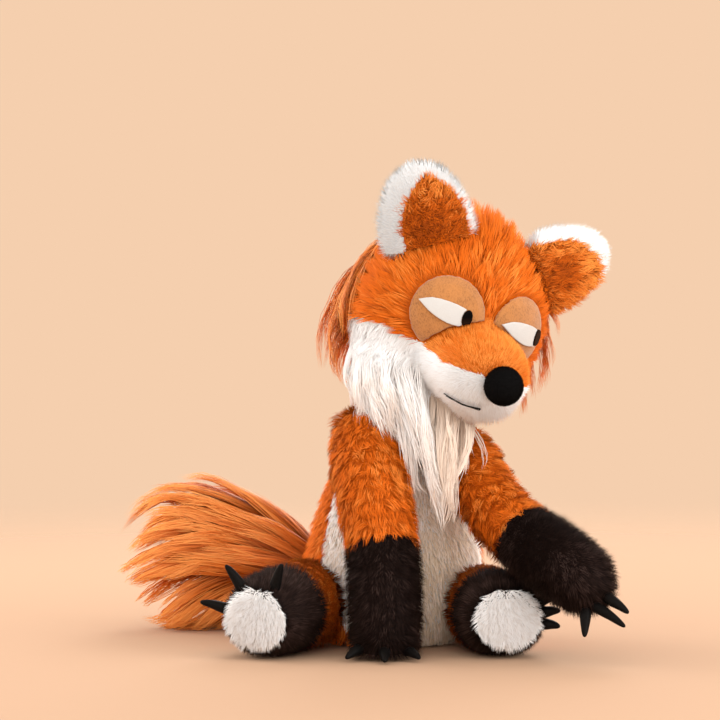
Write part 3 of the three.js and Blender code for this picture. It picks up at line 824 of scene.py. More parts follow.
def strand_mesh(name, paths, facing, width, tones):
    """One mesh of closed three-sided strands that taper to a point."""
    count, rings = paths.shape[0], paths.shape[1] - 1
    out = np.broadcast_to(facing[:, None], paths.shape)
    ends = np.concatenate((paths[:, 1:], paths[:, -1:]), 1)
    tangents = unit(ends[:, :rings] - np.concatenate((paths[:, :1], paths[:, : rings - 1]), 1))
    side = unit(np.cross(tangents, out[:, :rings]))
    lift = np.cross(side, tangents)
    taper = widths_for(rings)[None, :, None] * np.reshape(width, (-1, 1, 1))
    middle = paths[:, :rings]
    edges = (middle - side * taper * 0.5, middle + lift * taper * THICKNESS, middle + side * taper * 0.5)
    points = np.concatenate((np.stack(edges, 2).reshape(count, rings * 3, 3), paths[:, -1:]), 1)
    points[:, :, 2] = np.maximum(points[:, :, 2], LOWEST_STRAND)
    tip = rings * 3
    per = tip + 1
    along = np.linspace(0, 1, rings + 1)
    # One strand's faces. A mark says where a corner lies across the strand and along it.
    loops, marks, starts, flips = [2, 1, 0], [(1, 0.0), (0, 0.01), (-1, 0.0)], [0], [1, 1, 1]
    for k in range(rings):
        low, high = along[k], along[k + 1]
        for i in range(3):
            first, second = 3 * k + i, 3 * k + (i + 1) % 3
            starts.append(len(loops))
            if k < rings - 1:
                loops += [first, second, second + 3, first + 3]
                marks += [(-1, low), (1, low), (1, high), (-1, high)]
            else:
                loops += [first, second, tip]
                marks += [(-1, low), (1, low), (0, 1.0)]
            flips += [-1 if i == 2 else 1] * (len(loops) - starts[-1])
    loops, marks, starts = np.array(loops), np.array(marks), np.array(starts)
    order = np.arange(count)[:, None]
    all_loops = (loops[None] + order * per).astype(np.int32)
    all_starts = (starts[None] + order * len(loops)).astype(np.int32)
    mesh = bpy.data.meshes.new(name)
    mesh.vertices.add(count * per)
    mesh.vertices.foreach_set("co", points.astype(np.float32).ravel())
    mesh.loops.add(count * len(loops))
    mesh.loops.foreach_set("vertex_index", all_loops.ravel())
    mesh.polygons.add(count * len(starts))
    mesh.polygons.foreach_set("loop_start", all_starts.ravel())
    mesh.update(calc_edges=True)
    layer = mesh.uv_layers.new(name=UV_NAME)
    u = np.clip(tones, 0.01, 0.99)[:, None] + marks[None, :, 0] * UV_APART
    v = np.broadcast_to(0.005 + 0.99 * marks[None, :, 1], u.shape)
    layer.data.foreach_set("uv", np.stack((u, v), 2).astype(np.float32).ravel())
    mesh.shade_smooth()
    ring_of = np.minimum(loops // 3, rings - 1)
    across = np.where(loops == tip, 0, loops % 3 - 1)[:, None]
    if rings > 3:
        shade = lift[:, ring_of] * np.array(flips)[:, None] + side[:, ring_of] * across * 0.3
    else:
        shade = out[:, ring_of] + side[:, ring_of] * across * 0.6
    mesh.normals_split_custom_set(unit(shade).reshape(-1, 3))
    return add_object(name, mesh)


def triangles_in(rings):
    return 6 * (rings - 1) + 4


def dress(name, node, body, paths, facing, width, tones, material, replaces=()):
    """Makes the strands of one node, in as many pieces as the limit on a piece asks for."""
    most = MOST_TRIANGLES // triangles_in(paths.shape[1] - 1)
    parts = max(1, math.ceil(len(paths) / most))
    middle = paths[:, 0].mean(0)
    order = np.argsort(np.arctan2(paths[:, 0, 1] - middle[1], paths[:, 0, 0] - middle[0]))
    width = np.broadcast_to(width, len(paths))
    for part, chosen in enumerate(np.array_split(order, parts), 1):
        label = name if parts == 1 else f"{name}_{part}"
        piece = strand_mesh(label, paths[chosen], facing[chosen], width[chosen], tones[chosen])
        wear(piece, body, SLOT_OF[node], material)
        for covered in replaces:
            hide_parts(covered)


def pile_blotches(points):
    """The patches of lighter and darker fur, which both layers of the pile share."""
    return blotches(points, 0.04, 3)


def tones_of(points, leaders, rng):
    """A tone for each strand, which it partly shares with its tuft and its surroundings."""
    strand = rng.random(len(points))
    group = rng.random(len(points))[leaders]
    return 0.08 + 0.3 * pile_blotches(points) + 0.32 * group + 0.3 * strand


def flow_along(start, end):
    """The same way everywhere."""
    way = unit(end - start)
    return lambda points: np.broadcast_to(way, points.shape)


def flow_down(points):
    return np.broadcast_to(-UP, points.shape)


def flow_skull(points):
    """Away from the bridge of the muzzle on the forehead, then back and down."""
    here = to_head(points)
    fan = unit(here - np.array((0.0, -0.070, -0.012)))
    back = smooth(-0.01, 0.05, here[:, 1])[:, None]
    low = smooth(0.03, -0.04, here[:, 2])[:, None]
    way = from_head(fan) * (1 - 0.8 * back) - UP * (0.9 * back + 0.5 * low)
    return unit(way)


def flow_muzzle(points):
    """Back from the nose, and down on the sides."""
    here = to_head(points)
    down = smooth(0.0, -0.03, here[:, 2])[:, None]
    return unit(from_head((0.0, 1.0, 0.2)) - UP * 0.7 * down)


def flow_cheek(points):
    """Down, and a little out and back."""
    side = np.sign(to_head(points)[:, :1])
    return unit(from_head((0.35, 0.0, 0.0)) * side + from_head((0.0, 0.45, 0.0)) - UP)


def flow_sole(points):
    """Out from the middle, and down."""
    return unit((points - points.mean(0)) * 30 - UP * 0.8)


def flow_ear(side):
    """Away from the head, and out from the middle of the ear's front."""
    base, tip = centre_of(f"ear_front_{side}"), centre_of(f"ear_shell_{side}")
    way = unit(tip - HEAD_CENTRE)
    return lambda points: unit(unit(points - base) * 0.5 + way)


def chin_low(points):
    """The fuller fur under the chin."""
    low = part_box("muzzle_chin")[0].z
    return smooth(low + 0.016, low + 0.003, points[:, 2])


def chest_painted_shade(points):
    """Painted shade: the chest's fur is darker in its lower middle, where shadow falls between the arms and
    the legs, and lighter at the throat and towards its edges.
    """
    low = smooth(0.150, 0.060, points[:, 2])
    return 0.25 - 0.5 * low * smooth(0.045, 0.010, np.abs(points[:, 0] - 0.012))


def crown_top(points):
    """The tuft of longer fur between the ears."""
    here = to_head(points)
    return smooth(0.045, 0.070, here[:, 2]) * smooth(0.035, 0.0, np.abs(here[:, 0] - 0.005))


def round_the_claws(side):
    """The fuller fur that the claws of a hand come out of."""
    claws = solids(*[f"hand_claw_{side}_{number}" for number in (1, 2, 3)])

    def boost(points):
        away = np.array([claws.find_nearest(point)[3] for point in points])
        return smooth(0.018, 0.006, away)

    return boost


def ear_hollow_painted_shade(side):
    """Painted shade: the fur inside an ear is darker near its base, in the hollow where shade falls, and
    lighter further out.
    """
    base, tip = (np.array(row) for row in EARS[side][:2])
    low = base + (tip - base) * 0.2

    def tone(points):
        away = np.linalg.norm(to_head(points) / MM - low, axis=1)
        return 0.25 * smooth(18, 34, away) - 0.45 * smooth(22, 8, away)

    return tone


def coats(settings):
    """Each furred node's coat, flow and finish, and the name of its fur."""
    pile, short, strand = settings.pile, settings.short_pile, settings.strand
    body = Coat(pile * 1.15, strand * 1.3, 0.6, rise=44, fall=16, mess=14, clump=0.4, clump_size=0.008)
    plain = Coat(pile, strand * 1.1, 0.75, rise=38, fall=14, mess=8, clump=0.2)
    chest = Coat(pile, strand * 1.1, 0.9, rise=34, fall=12, mess=10, clump=0.25, tone=chest_painted_shade)
    hidden = Coat(pile, strand * 1.5, 0.15, rise=46, fall=20, mess=9)
    crown = Coat(pile * 1.5, strand, 1.3, rise=38, fall=16, droop=0.05, mess=11, clump=0.5, clump_size=0.009,
                 boost=crown_top)
    limb = Coat(pile * 1.2, strand, 1.2, rise=46, fall=22, mess=24, clump=0.45, clump_size=0.009, wave=0.0008)
    thigh_coat = Coat(pile, strand * 1.1, 0.9, rise=44, fall=18, mess=14, clump=0.35)
    paw = {
        side: Coat(pile, strand * 0.9, 1.8, rise=55, droop=0.1, mess=14, clump=0.2, steps=1,
                   boost=round_the_claws(side), gain=0.2)
        for side in SIDES
    }
    muzzle = Coat(short * 1.2, strand * 0.8, 3.4, rise=38, droop=0.05, mess=9, clump=0.15, steps=1,
                  tone=lambda points: np.full(len(points), 0.3))
    chin = Coat(short * 1.2, strand * 0.85, 3.0, rise=42, droop=0.05, mess=9, clump=0.1, steps=1,
                boost=chin_low, gain=0.7)
    cheek = Coat(pile * 1.4, strand, 1.3, rise=30, fall=8, droop=0.3, mess=9, clump=0.35, clump_size=0.010)
    ear = Coat(short * 1.35, strand * 0.85, 2.6, rise=56, droop=0.05, mess=10, clump=0.05, steps=1)
    foot_coat = Coat(pile * 0.85, strand * 0.9, 1.9, rise=70, droop=0.1, mess=16, clump=0.2, steps=1)
    inner = {
        side: Coat(pile, strand, 1.5, rise=46, fall=28, mess=28, clump=0.4, wave=0.001, tone=ear_hollow_painted_shade(side))
        for side in SIDES
    }
    sole = Coat(short * 1.25, strand * 0.95, 2.6, rise=46, droop=0.1, mess=14, clump=0.3, steps=1)
    table = {
        "torso_back": (body, flow_down, "fur_orange", "back_fur"),
        "chest_panel": (chest, flow_down, "fur_cream", "chest_fur"),
        "neck_roll": (hidden, flow_down, "fur_orange", "neck_fur"),
        "skull": (crown, flow_skull, "fur_orange", "crown_fur"),
        "muzzle_top": (muzzle, flow_muzzle, "fur_orange", "muzzle_fur"),
        "muzzle_chin": (chin, flow_muzzle, "fur_white", "chin_fur"),
        "throat_ruff": (plain, flow_down, "fur_cream", "throat_fur"),
    }
    for side in SIDES:
        sleeve, forearm = centre_of(f"sleeve_{side}"), centre_of(f"forearm_{side}")
        claws = np.mean([centre_of(f"hand_claw_{side}_{i}") for i in (1, 2, 3)], 0)
        thigh, foot = centre_of(f"thigh_{side}"), centre_of(f"foot_{side}")
        sided = {
            "cheek": (cheek, flow_cheek, "fur_white", "cheek_fur"),
            "ear_shell": (ear, flow_ear(side), "fur_white", "ear_rim_fur"),
            "ear_front": (inner[side], flow_ear(side), "fur_ear", "ear_front_fur"),
            "sleeve": (limb, flow_along(sleeve, forearm), "fur_orange", "sleeve_fur"),
            "forearm": (paw[side], flow_along(forearm, claws), "fur_brown", "forearm_fur"),
            "thigh": (thigh_coat, flow_along(thigh, foot), "fur_orange", "thigh_fur"),
            "foot": (foot_coat, flow_along(foot, thigh), "fur_brown", "foot_fur"),
            "sole": (sole, flow_sole, "fur_white", "sole_fur"),
        }
        for node, (*row, label) in sided.items():
            table[f"{node}_{side}"] = (*row, f"{label}_{side}")
    return table


def out_of_the_eyes(paths):
    """Which strands don't run into an eye disc."""
    tree = solids(*[f"eye_disc_{side}" for side in SIDES])
    clear = np.ones(len(paths), bool)
    for index, path in enumerate(paths):
        for spot in path[1:]:
            near, normal, _, _ = tree.find_nearest(spot, 0.01)
            if near is not None and (Vector(spot) - near).dot(normal) < 0.0003:
                clear[index] = False
    return clear


def off_the_mouth(paths):
    """Which strands leave the mouth's stitching bare."""
    tree = solids("mouth_stitch")
    near = [any(tree.find_nearest(spot, 0.0012)[0] is not None for spot in path) for path in paths]
    return ~np.array(near, bool)


def off_the_eyes(paths):
    """Which strands keep clear of the eye discs and of the room over them."""
    clear = np.ones(len(paths), bool)
    for sign in (-1, 1):
        x, z = sign * EYE_SPREAD, EYE_HEIGHT
        y = -SKULL[1] * math.sqrt(1 - (x / SKULL[0]) ** 2 - (z / SKULL[2]) ** 2)
        faces = unit(np.array((x, y, z)) / SKULL**2)
        for step in range(1, paths.shape[1]):
            away = to_head(paths[:, step]) - np.array((x, y, z))
            height = away @ faces
            radius = np.linalg.norm(away - height[:, None] * faces, axis=1)
            clear &= ~((radius < EYE_RADIUS - EYE_SPARE) & (height > -0.012))
    return clear


def make_finishes(settings):
    orange = (settings.orange_deep, settings.orange, settings.orange_light)
    ear = [scaled(shade, part) for shade, part in zip(orange, (0.55, 0.82, 1.0))]
    brown = (settings.brown_deep, settings.brown, settings.brown_light)
    white = (settings.white_deep, settings.white, settings.white)
    cream = (settings.cream_deep, settings.cream, settings.white)
    tuft = (settings.tuft_deep, settings.tuft, settings.cream)
    locks = (settings.locks_deep, settings.locks, settings.locks_light)
    light = settings.locks_light
    fur_finish("fur_orange", *orange)
    fur_finish("fur_ear", *ear, root=0.5)
    fur_finish("fur_white", *white, root=0.98)
    fur_finish("fur_brown", *brown, root=0.7)
    fur_finish("fur_cream", *cream, root=0.92)
    fur_finish("hair_beard", *tuft, root=0.92, roughness=0.5, specular=0.12)
    # Painted shade: the throat's hair turns beige towards its ends, where it falls over the shaded chest.
    fur_finish("hair_throat", *white, root=0.98, tip=settings.tuft)
    # Painted highlight: the mane's and the tail's hair turn to the light locks' colour at their ends, as
    # backlit tips glow.
    fur_finish("hair_orange", *locks, root=0.7, tip=light, roughness=0.45, specular=0.2)


def finish_of(settings, name):
    """A finish by its name. All of them are made when the first is asked for."""
    if name not in bpy.data.materials:
        make_finishes(settings)
    return bpy.data.materials[name]


def obstacle_tree():
    """One search tree over what the fur must not grow into."""
    pieces = [bpy.data.objects[name] for name in LININGS]
    pieces += [frame["nodes"][f"eye_disc_{side}"] for side in SIDES]
    pieces.append(frame["nodes"]["nose"])
    return tree_of(pieces)


def grow_fur(settings, linings):
    """Grows the pile on some linings, each strand in the coat of the node that it stands over."""
    table = coats(settings)
    tree = obstacle_tree()
    for index, name in enumerate(linings):
        for layer, density in enumerate((settings.guard, settings.under)):
            rng = np.random.default_rng(100 + 10 * index + layer)
            grow_layer(settings, name, table, tree, density, layer, rng)


def grow_layer(settings, name, table, tree, density, layer, rng):
    """Grows the bent strands of a lining, or the undercoat where layer is 1."""
    nodes, body, inset, _ = LININGS[name]
    lining = bpy.data.objects[name]
    densest = max(table[node][0].density for node in nodes if node in table)
    points, facing = scatter(lining, density * PER_SQUARE_CM * densest, rng)
    owners = owning_nodes(points + facing * inset * MM, nodes)
    for number, node in enumerate(nodes):
        if node not in table:
            continue
        coat, flow, finish, label = table[node]
        chosen = (owners == number) & (rng.random(len(points)) < coat.density / densest)
        underneath = (points[:, 2] < 0.005) & (facing[:, 2] < -0.6)
        chosen &= ~underneath
        at, way = points[chosen], facing[chosen]
        if node == "skull":
            under_the_mane = (to_head(at)[:, 1] > 0.026) & (rng.random(len(at)) < 0.65)
            at, way = at[~under_the_mane], way[~under_the_mane]
        room = room_over(at, way, tree, coat.length * 1.6)
        free = room > 0.25 * coat.length
        at, way, room = at[free], way[free], room[free]
        if layer:
            paths, tones = undercoat(at, way, flow(at), coat, rng, room)
        else:
            paths, leaders = comb(at, way, flow(at), coat, rng, room)
            tones = tones_of(at, leaders, rng) + coat.toned(at)
        if body == "head":
            clear = off_the_eyes(paths) if node == "skull" else out_of_the_eyes(paths)
            if node == "muzzle_chin":
                clear &= off_the_mouth(paths)
            paths, way, tones = paths[clear], way[clear], tones[clear]
        label = f"{label}_under" if layer else label
        dress(label, node, body, paths, way, coat.width, tones, finish_of(settings, finish))


def undercoat(points, facing, flow, coat, rng, room):
    """Short straight strands that fill the pile under the bent ones."""
    count = len(points)
    across = spun(along_skin(flow, facing), facing, rng.normal(0, coat.mess * 1.2, count))
    boost = coat.boosted(points)
    tilt = (coat.rise + coat.fall) / 2 + 8 + STEEPER * boost + rng.normal(0, 8, count)
    tilt = np.radians(np.clip(tilt, 5, 88))[:, None]
    way = facing * np.sin(tilt) + across * np.cos(tilt)
    sizes = coat.length * UNDERCOAT_LENGTH * (1 - 0.35 * rng.random(count)) * (1 + coat.gain * boost)
    tips = points + unit(way) * np.minimum(sizes, room)[:, None]
    tones = 0.02 + 0.3 * pile_blotches(points) + 0.4 * rng.random(count) + coat.toned(points)
    return np.stack((points, tips), 1), tones


# Long hair


def hang(roots, starts, sizes, steps, pull, tree, gap, shell, most):
    """Leading hairs that leave their roots along starts, give way to pull, lie over what is under
    them and keep within most of the shell."""
    paths = np.empty((len(roots), steps + 1, 3))
    reaches = np.broadcast_to(most, len(roots))
    for i, (root, way, size, reach) in enumerate(zip(roots, starts, sizes, reaches)):
        here = Vector(root)
        heading = Vector(way)
        paths[i, 0] = root
        for step in range(1, steps + 1):
            heading = (heading + Vector(pull[i]) / steps * (1 + step / steps)).normalized()
            there = here + heading * (size / steps)
            near, normal, _, distance = shell.find_nearest(there)
            allowed = reach * (0.6 + step / steps)
            if (there - near).dot(normal) > 0 and distance > allowed:
                there = near + (there - near) * (allowed / distance)
            near, normal, _, distance = tree.find_nearest(there)
            if (there - near).dot(normal) < gap:
                there = near + normal * gap
            there.z = max(there.z, LOWEST_HAIR)
            heading = (there - here).normalized()
            here = there
            paths[i, step] = here
    return paths


def follow(leads, roots, rng, gather, frizz):
    """Hairs that follow the nearest leading hair and close up to it towards its tip."""
    tree = KDTree(len(leads))
    for index, lead in enumerate(leads):
        tree.insert(lead[0], index)
    tree.balance()
    owners = np.array([tree.find(root)[1] for root in roots])
    steps = leads.shape[1] - 1
    count = len(roots)
    share = np.linspace(0, 1, steps + 1)
    reach = SHORTEST_HAIR + (LONGEST_HAIR - SHORTEST_HAIR) * rng.random(count)
    paths = np.empty((count, steps + 1, 3))
    offset = roots - leads[owners, 0]
    phase = rng.uniform(0, 2 * math.pi, (count, 3))
    pace = rng.uniform(3, 7, (count, 1))
    for step in range(steps + 1):
        t = np.minimum(share[step] * reach, 1.0) * steps
        low = np.minimum(t.astype(int), steps - 1)
        part = (t - low)[:, None]
        lead = leads[owners, low] * (1 - part) + leads[owners, low + 1] * part
        open_up = 1 - gather * share[step] ** 1.2
        sway = np.sin(phase + pace * share[step]) - np.sin(phase)
        paths[:, step] = lead + offset * open_up + sway * frizz * share[step]
    return paths, owners


def hair_tones(points, owners, rng):
    """A tone for each hair, which it partly shares with its lock and its surroundings."""
    group = np.random.default_rng(11).random(owners.max() + 1)[owners]
    return 0.08 + 0.3 * blotches(points, 0.05, 5) + 0.25 * group + 0.37 * rng.random(len(points))


def waved(leads, rng, size):
    """Lets each leading hair sway from side to side, more towards its tip."""
    share = np.linspace(0, 1, leads.shape[1])[:, None]
    phase = rng.uniform(0, 2 * math.pi, (len(leads), 1, 3))
    pace = rng.uniform(4, 9, (len(leads), 1, 1))
    return leads + size * share * (np.sin(phase + pace * share) - np.sin(phase))


def grow_locks(settings, label, node, body, finish, seed, lining, keep, aim, shell, covers=(),
               density=20, apart=0.015, steps=6, gap=0.003, wave=0.002, gather=0.92, frizz=0.0015,
               width=1.0, front=False):
    """Scatters roots where keep holds and hangs leading hairs from some of them, which all the hairs
    then follow. Aim gives the way each leading hair starts out, its length, what pulls it and how far
    it gets from the shell. Front turns the shading of all the hairs towards the viewer."""
    rng = np.random.default_rng(seed)
    roots, facing = scatter(bpy.data.objects[lining], density * PER_SQUARE_CM, rng)
    chosen = keep(roots, facing, rng)
    roots, facing = roots[chosen], facing[chosen]
    chosen = np.unique(leaders_of(roots, apart))
    starts, sizes, pull, most = aim(roots[chosen], facing[chosen], rng)
    pull = np.broadcast_to(pull, starts.shape)
    leads = hang(roots[chosen], starts, sizes, steps, pull, obstacle_tree(), gap, solids(*shell), most)
    paths, owners = follow(waved(leads, rng, wave), roots, rng, gather, frizz)
    tones = hair_tones(roots, owners, rng)
    widths = settings.hair * width * rng.uniform(0.7, 1.2, len(roots))
    if front:
        facing = np.tile(FRONT, (len(roots), 1))
    dress(label, node, body, paths, facing, widths, tones, finish_of(settings, finish), covers)


def make_mane(settings):
    """The long hair round the back of the head, which lies closer on its right side."""

    def keep(points, facing, rng):
        here = to_head(points)
        edge = np.where(here[:, 0] < 0, 0.014, -0.008)
        return (here[:, 1] > edge) & (here[:, 2] > -0.045) & (here[:, 2] < 0.056)

    def aim(roots, facing, rng):
        here = to_head(roots)
        out = facing * 0.5 + from_head(unit(here * (1, 0.4, 0)) * 0.7) - UP * 0.2
        sizes = settings.mane * rng.uniform(0.4, 1.1, len(roots))
        sizes *= 0.72 + 0.28 * smooth(-0.05, 0.03, here[:, 2])
        sizes *= 1 - 0.25 * smooth(0.0, 0.04, here[:, 0])
        return unit(out), sizes, HAIR_WEIGHT, np.where(here[:, 0] > 0, 0.016, 0.003)

    shell = ("mane", "skull", "cheek_right", "cheek_left")
    grow_locks(settings, "mane_hair", "mane", "head", "hair_orange", 21, "head_lining", keep, aim, shell,
               ("mane",), density=17, apart=0.015, gap=0.005, wave=0.0015)


def make_beard(settings):
    """The tuft under the chin, which draws together towards its tip."""
    middle_x, half = -0.010, 0.022

    def keep(points, facing, rng):
        here = to_head(points)
        below = (here[:, 2] < -0.042) & (facing[:, 2] < 0.0) & (here[:, 1] > -0.084)
        return below & (here[:, 1] < -0.038) & (np.abs(here[:, 0] - middle_x) < half)

    def aim(roots, facing, rng):
        aside = to_head(roots)[:, 0] - middle_x
        starts = unit(facing * 0.3 - UP * 0.9 + from_head((0.0, -0.3, 0.0)))
        sizes = settings.beard * rng.uniform(0.4, 1.1, len(roots))
        sizes *= 1 - 0.35 * np.clip(np.abs(aside) / half, 0, 1)
        return starts, sizes, HAIR_WEIGHT - from_head((1.0, 0, 0)) * aside[:, None] * 34, 0.005

    shell = ("beard", "throat_ruff", "muzzle_chin")
    grow_locks(settings, "beard_hair", "beard", "head", "hair_beard", 22, "head_lining", keep, aim, shell,
               ("beard",), density=60, apart=0.009, steps=8, gap=0.004, wave=0.004, width=0.8, front=True)


def make_throat_hair(settings):
    """The long white hair that falls from the right cheek over the chest and the arm's top."""

    def keep(points, facing, rng):
        here = to_head(points)
        low = (here[:, 2] > -0.085) & (here[:, 1] > -0.062) & (here[:, 1] < 0.002)
        thick = rng.random(len(here)) < smooth(-0.018, -0.050, here[:, 2])
        return low & thick & (here[:, 0] < -0.008) & (here[:, 0] > -0.068)

    def aim(roots, facing, rng):
        inner = smooth(-0.055, -0.030, to_head(roots)[:, 0])
        sizes = (0.050 + 0.045 * inner) * rng.uniform(0.55, 1.1, len(roots))
        return unit(facing * 0.5 - UP * 0.7), sizes, HAIR_WEIGHT + np.array((0.7, -0.2, 0.0)), 0.011

    shell = ("cheek_right", "throat_ruff", "chest_panel", "torso_back", "sleeve_right", "beard")
    grow_locks(settings, "throat_hair", "throat_ruff", "head", "hair_throat", 30, "head_lining", keep, aim,
               shell, density=52, apart=0.010, steps=7, wave=0.003, gather=0.5, frizz=0.0016, width=0.75,
               front=True)


# The middle of the tail, from its root to its tip
TAIL_LINE = MM * np.array(
    ((-34, 74, 36), (-68, 104, 52), (-110, 120, 62), (-152, 122, 62), (-190, 120, 56))
)


def along_tail(points):
    """How far along the tail each point lies, from 0 to 1, and the way the tail runs there."""
    legs = np.diff(TAIL_LINE, axis=0)
    shares, ways = [], []
    for point in points:
        away = point - TAIL_LINE[:-1]
        part = np.clip(np.sum(away * legs, 1) / np.sum(legs * legs, 1), 0, 1)
        gaps = np.linalg.norm(away - legs * part[:, None], axis=1)
        leg = int(np.argmin(gaps))
        place = leg + part[leg]
        shares.append(place / len(legs))
        nearby = np.exp(-((np.arange(len(legs)) + 0.5 - place) ** 2) / 0.6)
        ways.append(nearby @ unit(legs))
    return np.array(shares), unit(np.array(ways))


def make_tail(settings):
    """The brush, whose locks run along the tail and fall apart towards its tip."""

    def keep(points, facing, rng):
        return (points[:, 2] > 0.004) & ((points - TAIL_LINE[0]) @ TAIL_TO_BACK < 0.006)

    def aim(roots, facing, rng):
        share, way = along_tail(roots)
        ends = rng.uniform(-0.210, -0.165, len(roots))
        reach = np.maximum(roots[:, 0] - ends, 0.025) * 1.12
        sizes = np.minimum(settings.brush * rng.uniform(0.7, 1.1, len(roots)), reach)
        low = smooth(0.055, 0.025, roots[:, 2])
        fall = 0.9 * smooth(0.2, 0.9, share) + 1.2 * low
        pull = np.stack((np.full(len(roots), -0.5), np.full(len(roots), 0.1), -fall), 1)
        return unit(way + facing * 0.4), sizes, pull, 0.008 + 0.006 * low

    grow_locks(settings, "tail_hair", "tail", "tail", "hair_orange", 23, "tail_lining", keep, aim, ("tail",),
               apart=0.017, gather=0.94)


# Face, claws and seat


FLOCK_DENSITY = 120  # fibres on each square centimetre of the nose


def make_face(face):
    suede, felt = suede_finish(face), felt_finish(face)
    velour = black_finish("velour", face, 0.9, 1600, 0.0004, specular=0.03)
    thread = black_finish("thread", face, 0.7, 2200, 0.0003)
    low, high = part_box("pupil_right")
    gloss = pupil_finish(face, low.z, high.z)
    for side in SIDES:
        for label, node, material, voxel, rounds in (
            ("eye_cup", "eye_disc", suede, 0.9, 6),
            ("eye_felt", "eye_white", felt, 0.45, 3),
            ("eye_bead", "pupil", gloss, 0.4, 4),
        ):
            piece = smooth_copy((f"{node}_{side}",), f"{label}_{side}", voxel * MM, rounds)
            wear(piece, "head", SLOT_OF[f"{node}_{side}"], material)
            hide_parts(f"{node}_{side}")
    mouth = smooth_copy(("mouth_stitch",), "mouth_thread", 0.3 * MM, rounds=4)
    taper_mouth(mouth)
    nose = smooth_copy(("nose",), "nose_ball", 0.9 * MM, rounds=12)
    for piece, node, material in ((mouth, "mouth_stitch", thread), (nose, "nose", velour)):
        wear(piece, "head", SLOT_OF[node], material)
        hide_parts(node)
    rng = np.random.default_rng(41)
    points, facing = scatter(nose, FLOCK_DENSITY * PER_SQUARE_CM, rng)
    coat = Coat(face.flock, 0.0005, rise=60, droop=0.0, clump=0.1, clump_size=0.002, mess=30, steps=1)
    paths, _ = comb(points, facing, flow_down(points), coat, rng)
    tones = rng.random(len(points))
    shades = (face.black, face.black, lifted(face.black, 0.008))
    flock = fur_finish("flock", *shades, root=1.0, roughness=0.9, specular=0.02)
    dress("nose_flock", "nose", "head", paths, facing, coat.width, tones, flock)


def taper_mouth(mouth):
    """Draws in the stitching's outer end, thins it there and thickens the other."""
    here = to_head(corners(mouth))
    across = here[:, 0]
    share = (across - across.min()) / (across.max() - across.min())
    inner = here[share > 0.8].mean(0)
    for vertex, spot, part in zip(mouth.data.vertices, here, share):
        drawn = (inner - spot) * 0.16
        vertex.co += Vector(from_head(drawn)) + vertex.normal * (0.0009 * part - 0.00045)


def make_claws(face):
    material = black_finish("claw_black", face, 0.5, 500, 0.0001, specular=0.08)
    for limb, body in (("hand", "arm"), ("foot", "leg")):
        for side in SIDES:
            for number in (1, 2, 3):
                node = f"{limb}_claw_{side}_{number}"
                piece = copy_of((node,), f"{limb}_nail_{side}_{number}")
                modify(piece, "SUBSURF", levels=2, render_levels=2)
                modify(piece, "DISPLACE", strength=0.0006, mid_level=0.0, direction="NORMAL")
                piece.data.shade_smooth()
                wear(piece, f"{body}_{side}", SLOT_OF[node], material)
                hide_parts(node)


def make_seat():
    """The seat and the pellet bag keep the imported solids, in canvas."""
    material = canvas_finish()
    for node in ("seat_panel", "pellet_bag"):
        piece = frame["nodes"][node]
        piece.data.materials.clear()
        piece.data.materials.append(material)


# Stage

CAMERA_AZIMUTH = math.radians(-15)
CAMERA_ELEVATION = math.radians(2.5)
CAMERA_DISTANCE = 3.0
LENS = 187.5
PIXEL = 0.0008  # metres across one of the 720 pixels, where the toy sits
HALF_PICTURE = 360
ORIGIN_PIXEL = (398, 640)  # where the toy's origin shows
FLOOR_RADIUS = 3.0
FLOOR_HEIGHT = -0.0004  # just under the toy
FLOOR_FADES = (0.45, 1.5)  # how far out the floor starts to fade, and where it has gone
AIM = (0.0, -0.03, 0.17)  # what every lamp points at
LAMPS = {  # each lamp's setting, its size and its place
    "key": ("key", 1.8, (-0.6, -2.1, 0.7)),
    "fill": ("fill", 1.7, (1.5, -1.7, 0.8)),
    "rim_left": ("rim", 0.9, (0.7, 1.3, 1.2)),
    "rim_right": ("rim", 0.9, (-1.4, 1.0, 0.9)),
}


def make_stage(stage):
    make_floor(stage)
    for name, (setting, size, place) in LAMPS.items():
        add_lamp(name, getattr(stage, setting), size, place)
    make_world(stage)
    make_camera()
    bpy.context.scene.view_settings.view_transform = "Standard"


def make_floor(stage):
    """A round floor just under the toy, which fades into the backdrop."""
    where = (0, 0, FLOOR_HEIGHT)
    bpy.ops.mesh.primitive_circle_add(vertices=96, radius=FLOOR_RADIUS, fill_type="NGON", location=where)
    floor = bpy.context.object
    floor.name = "floor"
    recipe = Recipe("floor", 0.9, specular=0.1)
    grain = recipe.noise(40, detail=2)
    recipe.finish(recipe.mix(grain * 0.2, stage.floor, scaled(stage.floor, 0.96)))
    radius = recipe.node("ShaderNodeVectorMath", {"operation": "LENGTH"}, recipe.place(), output=1)
    clear = recipe.node("ShaderNodeBsdfTransparent")
    fade = recipe.step(radius, *FLOOR_FADES)
    surface = Term(recipe, recipe.shader.outputs[0])
    mixed = recipe.node("ShaderNodeMixShader", {}, fade, surface, clear)
    recipe.feed(recipe.tree.nodes["Material Output"].inputs["Surface"], mixed)
    floor.data.materials.append(recipe.material)


def add_lamp(name, power, size, place):
    data = bpy.data.lights.new(name, "AREA")
    data.energy = power
    data.size = size
    lamp = add_object(name, data)
    lamp.location = place
    lamp.rotation_euler = (Vector(AIM) - Vector(place)).to_track_quat("-Z", "Y").to_euler()


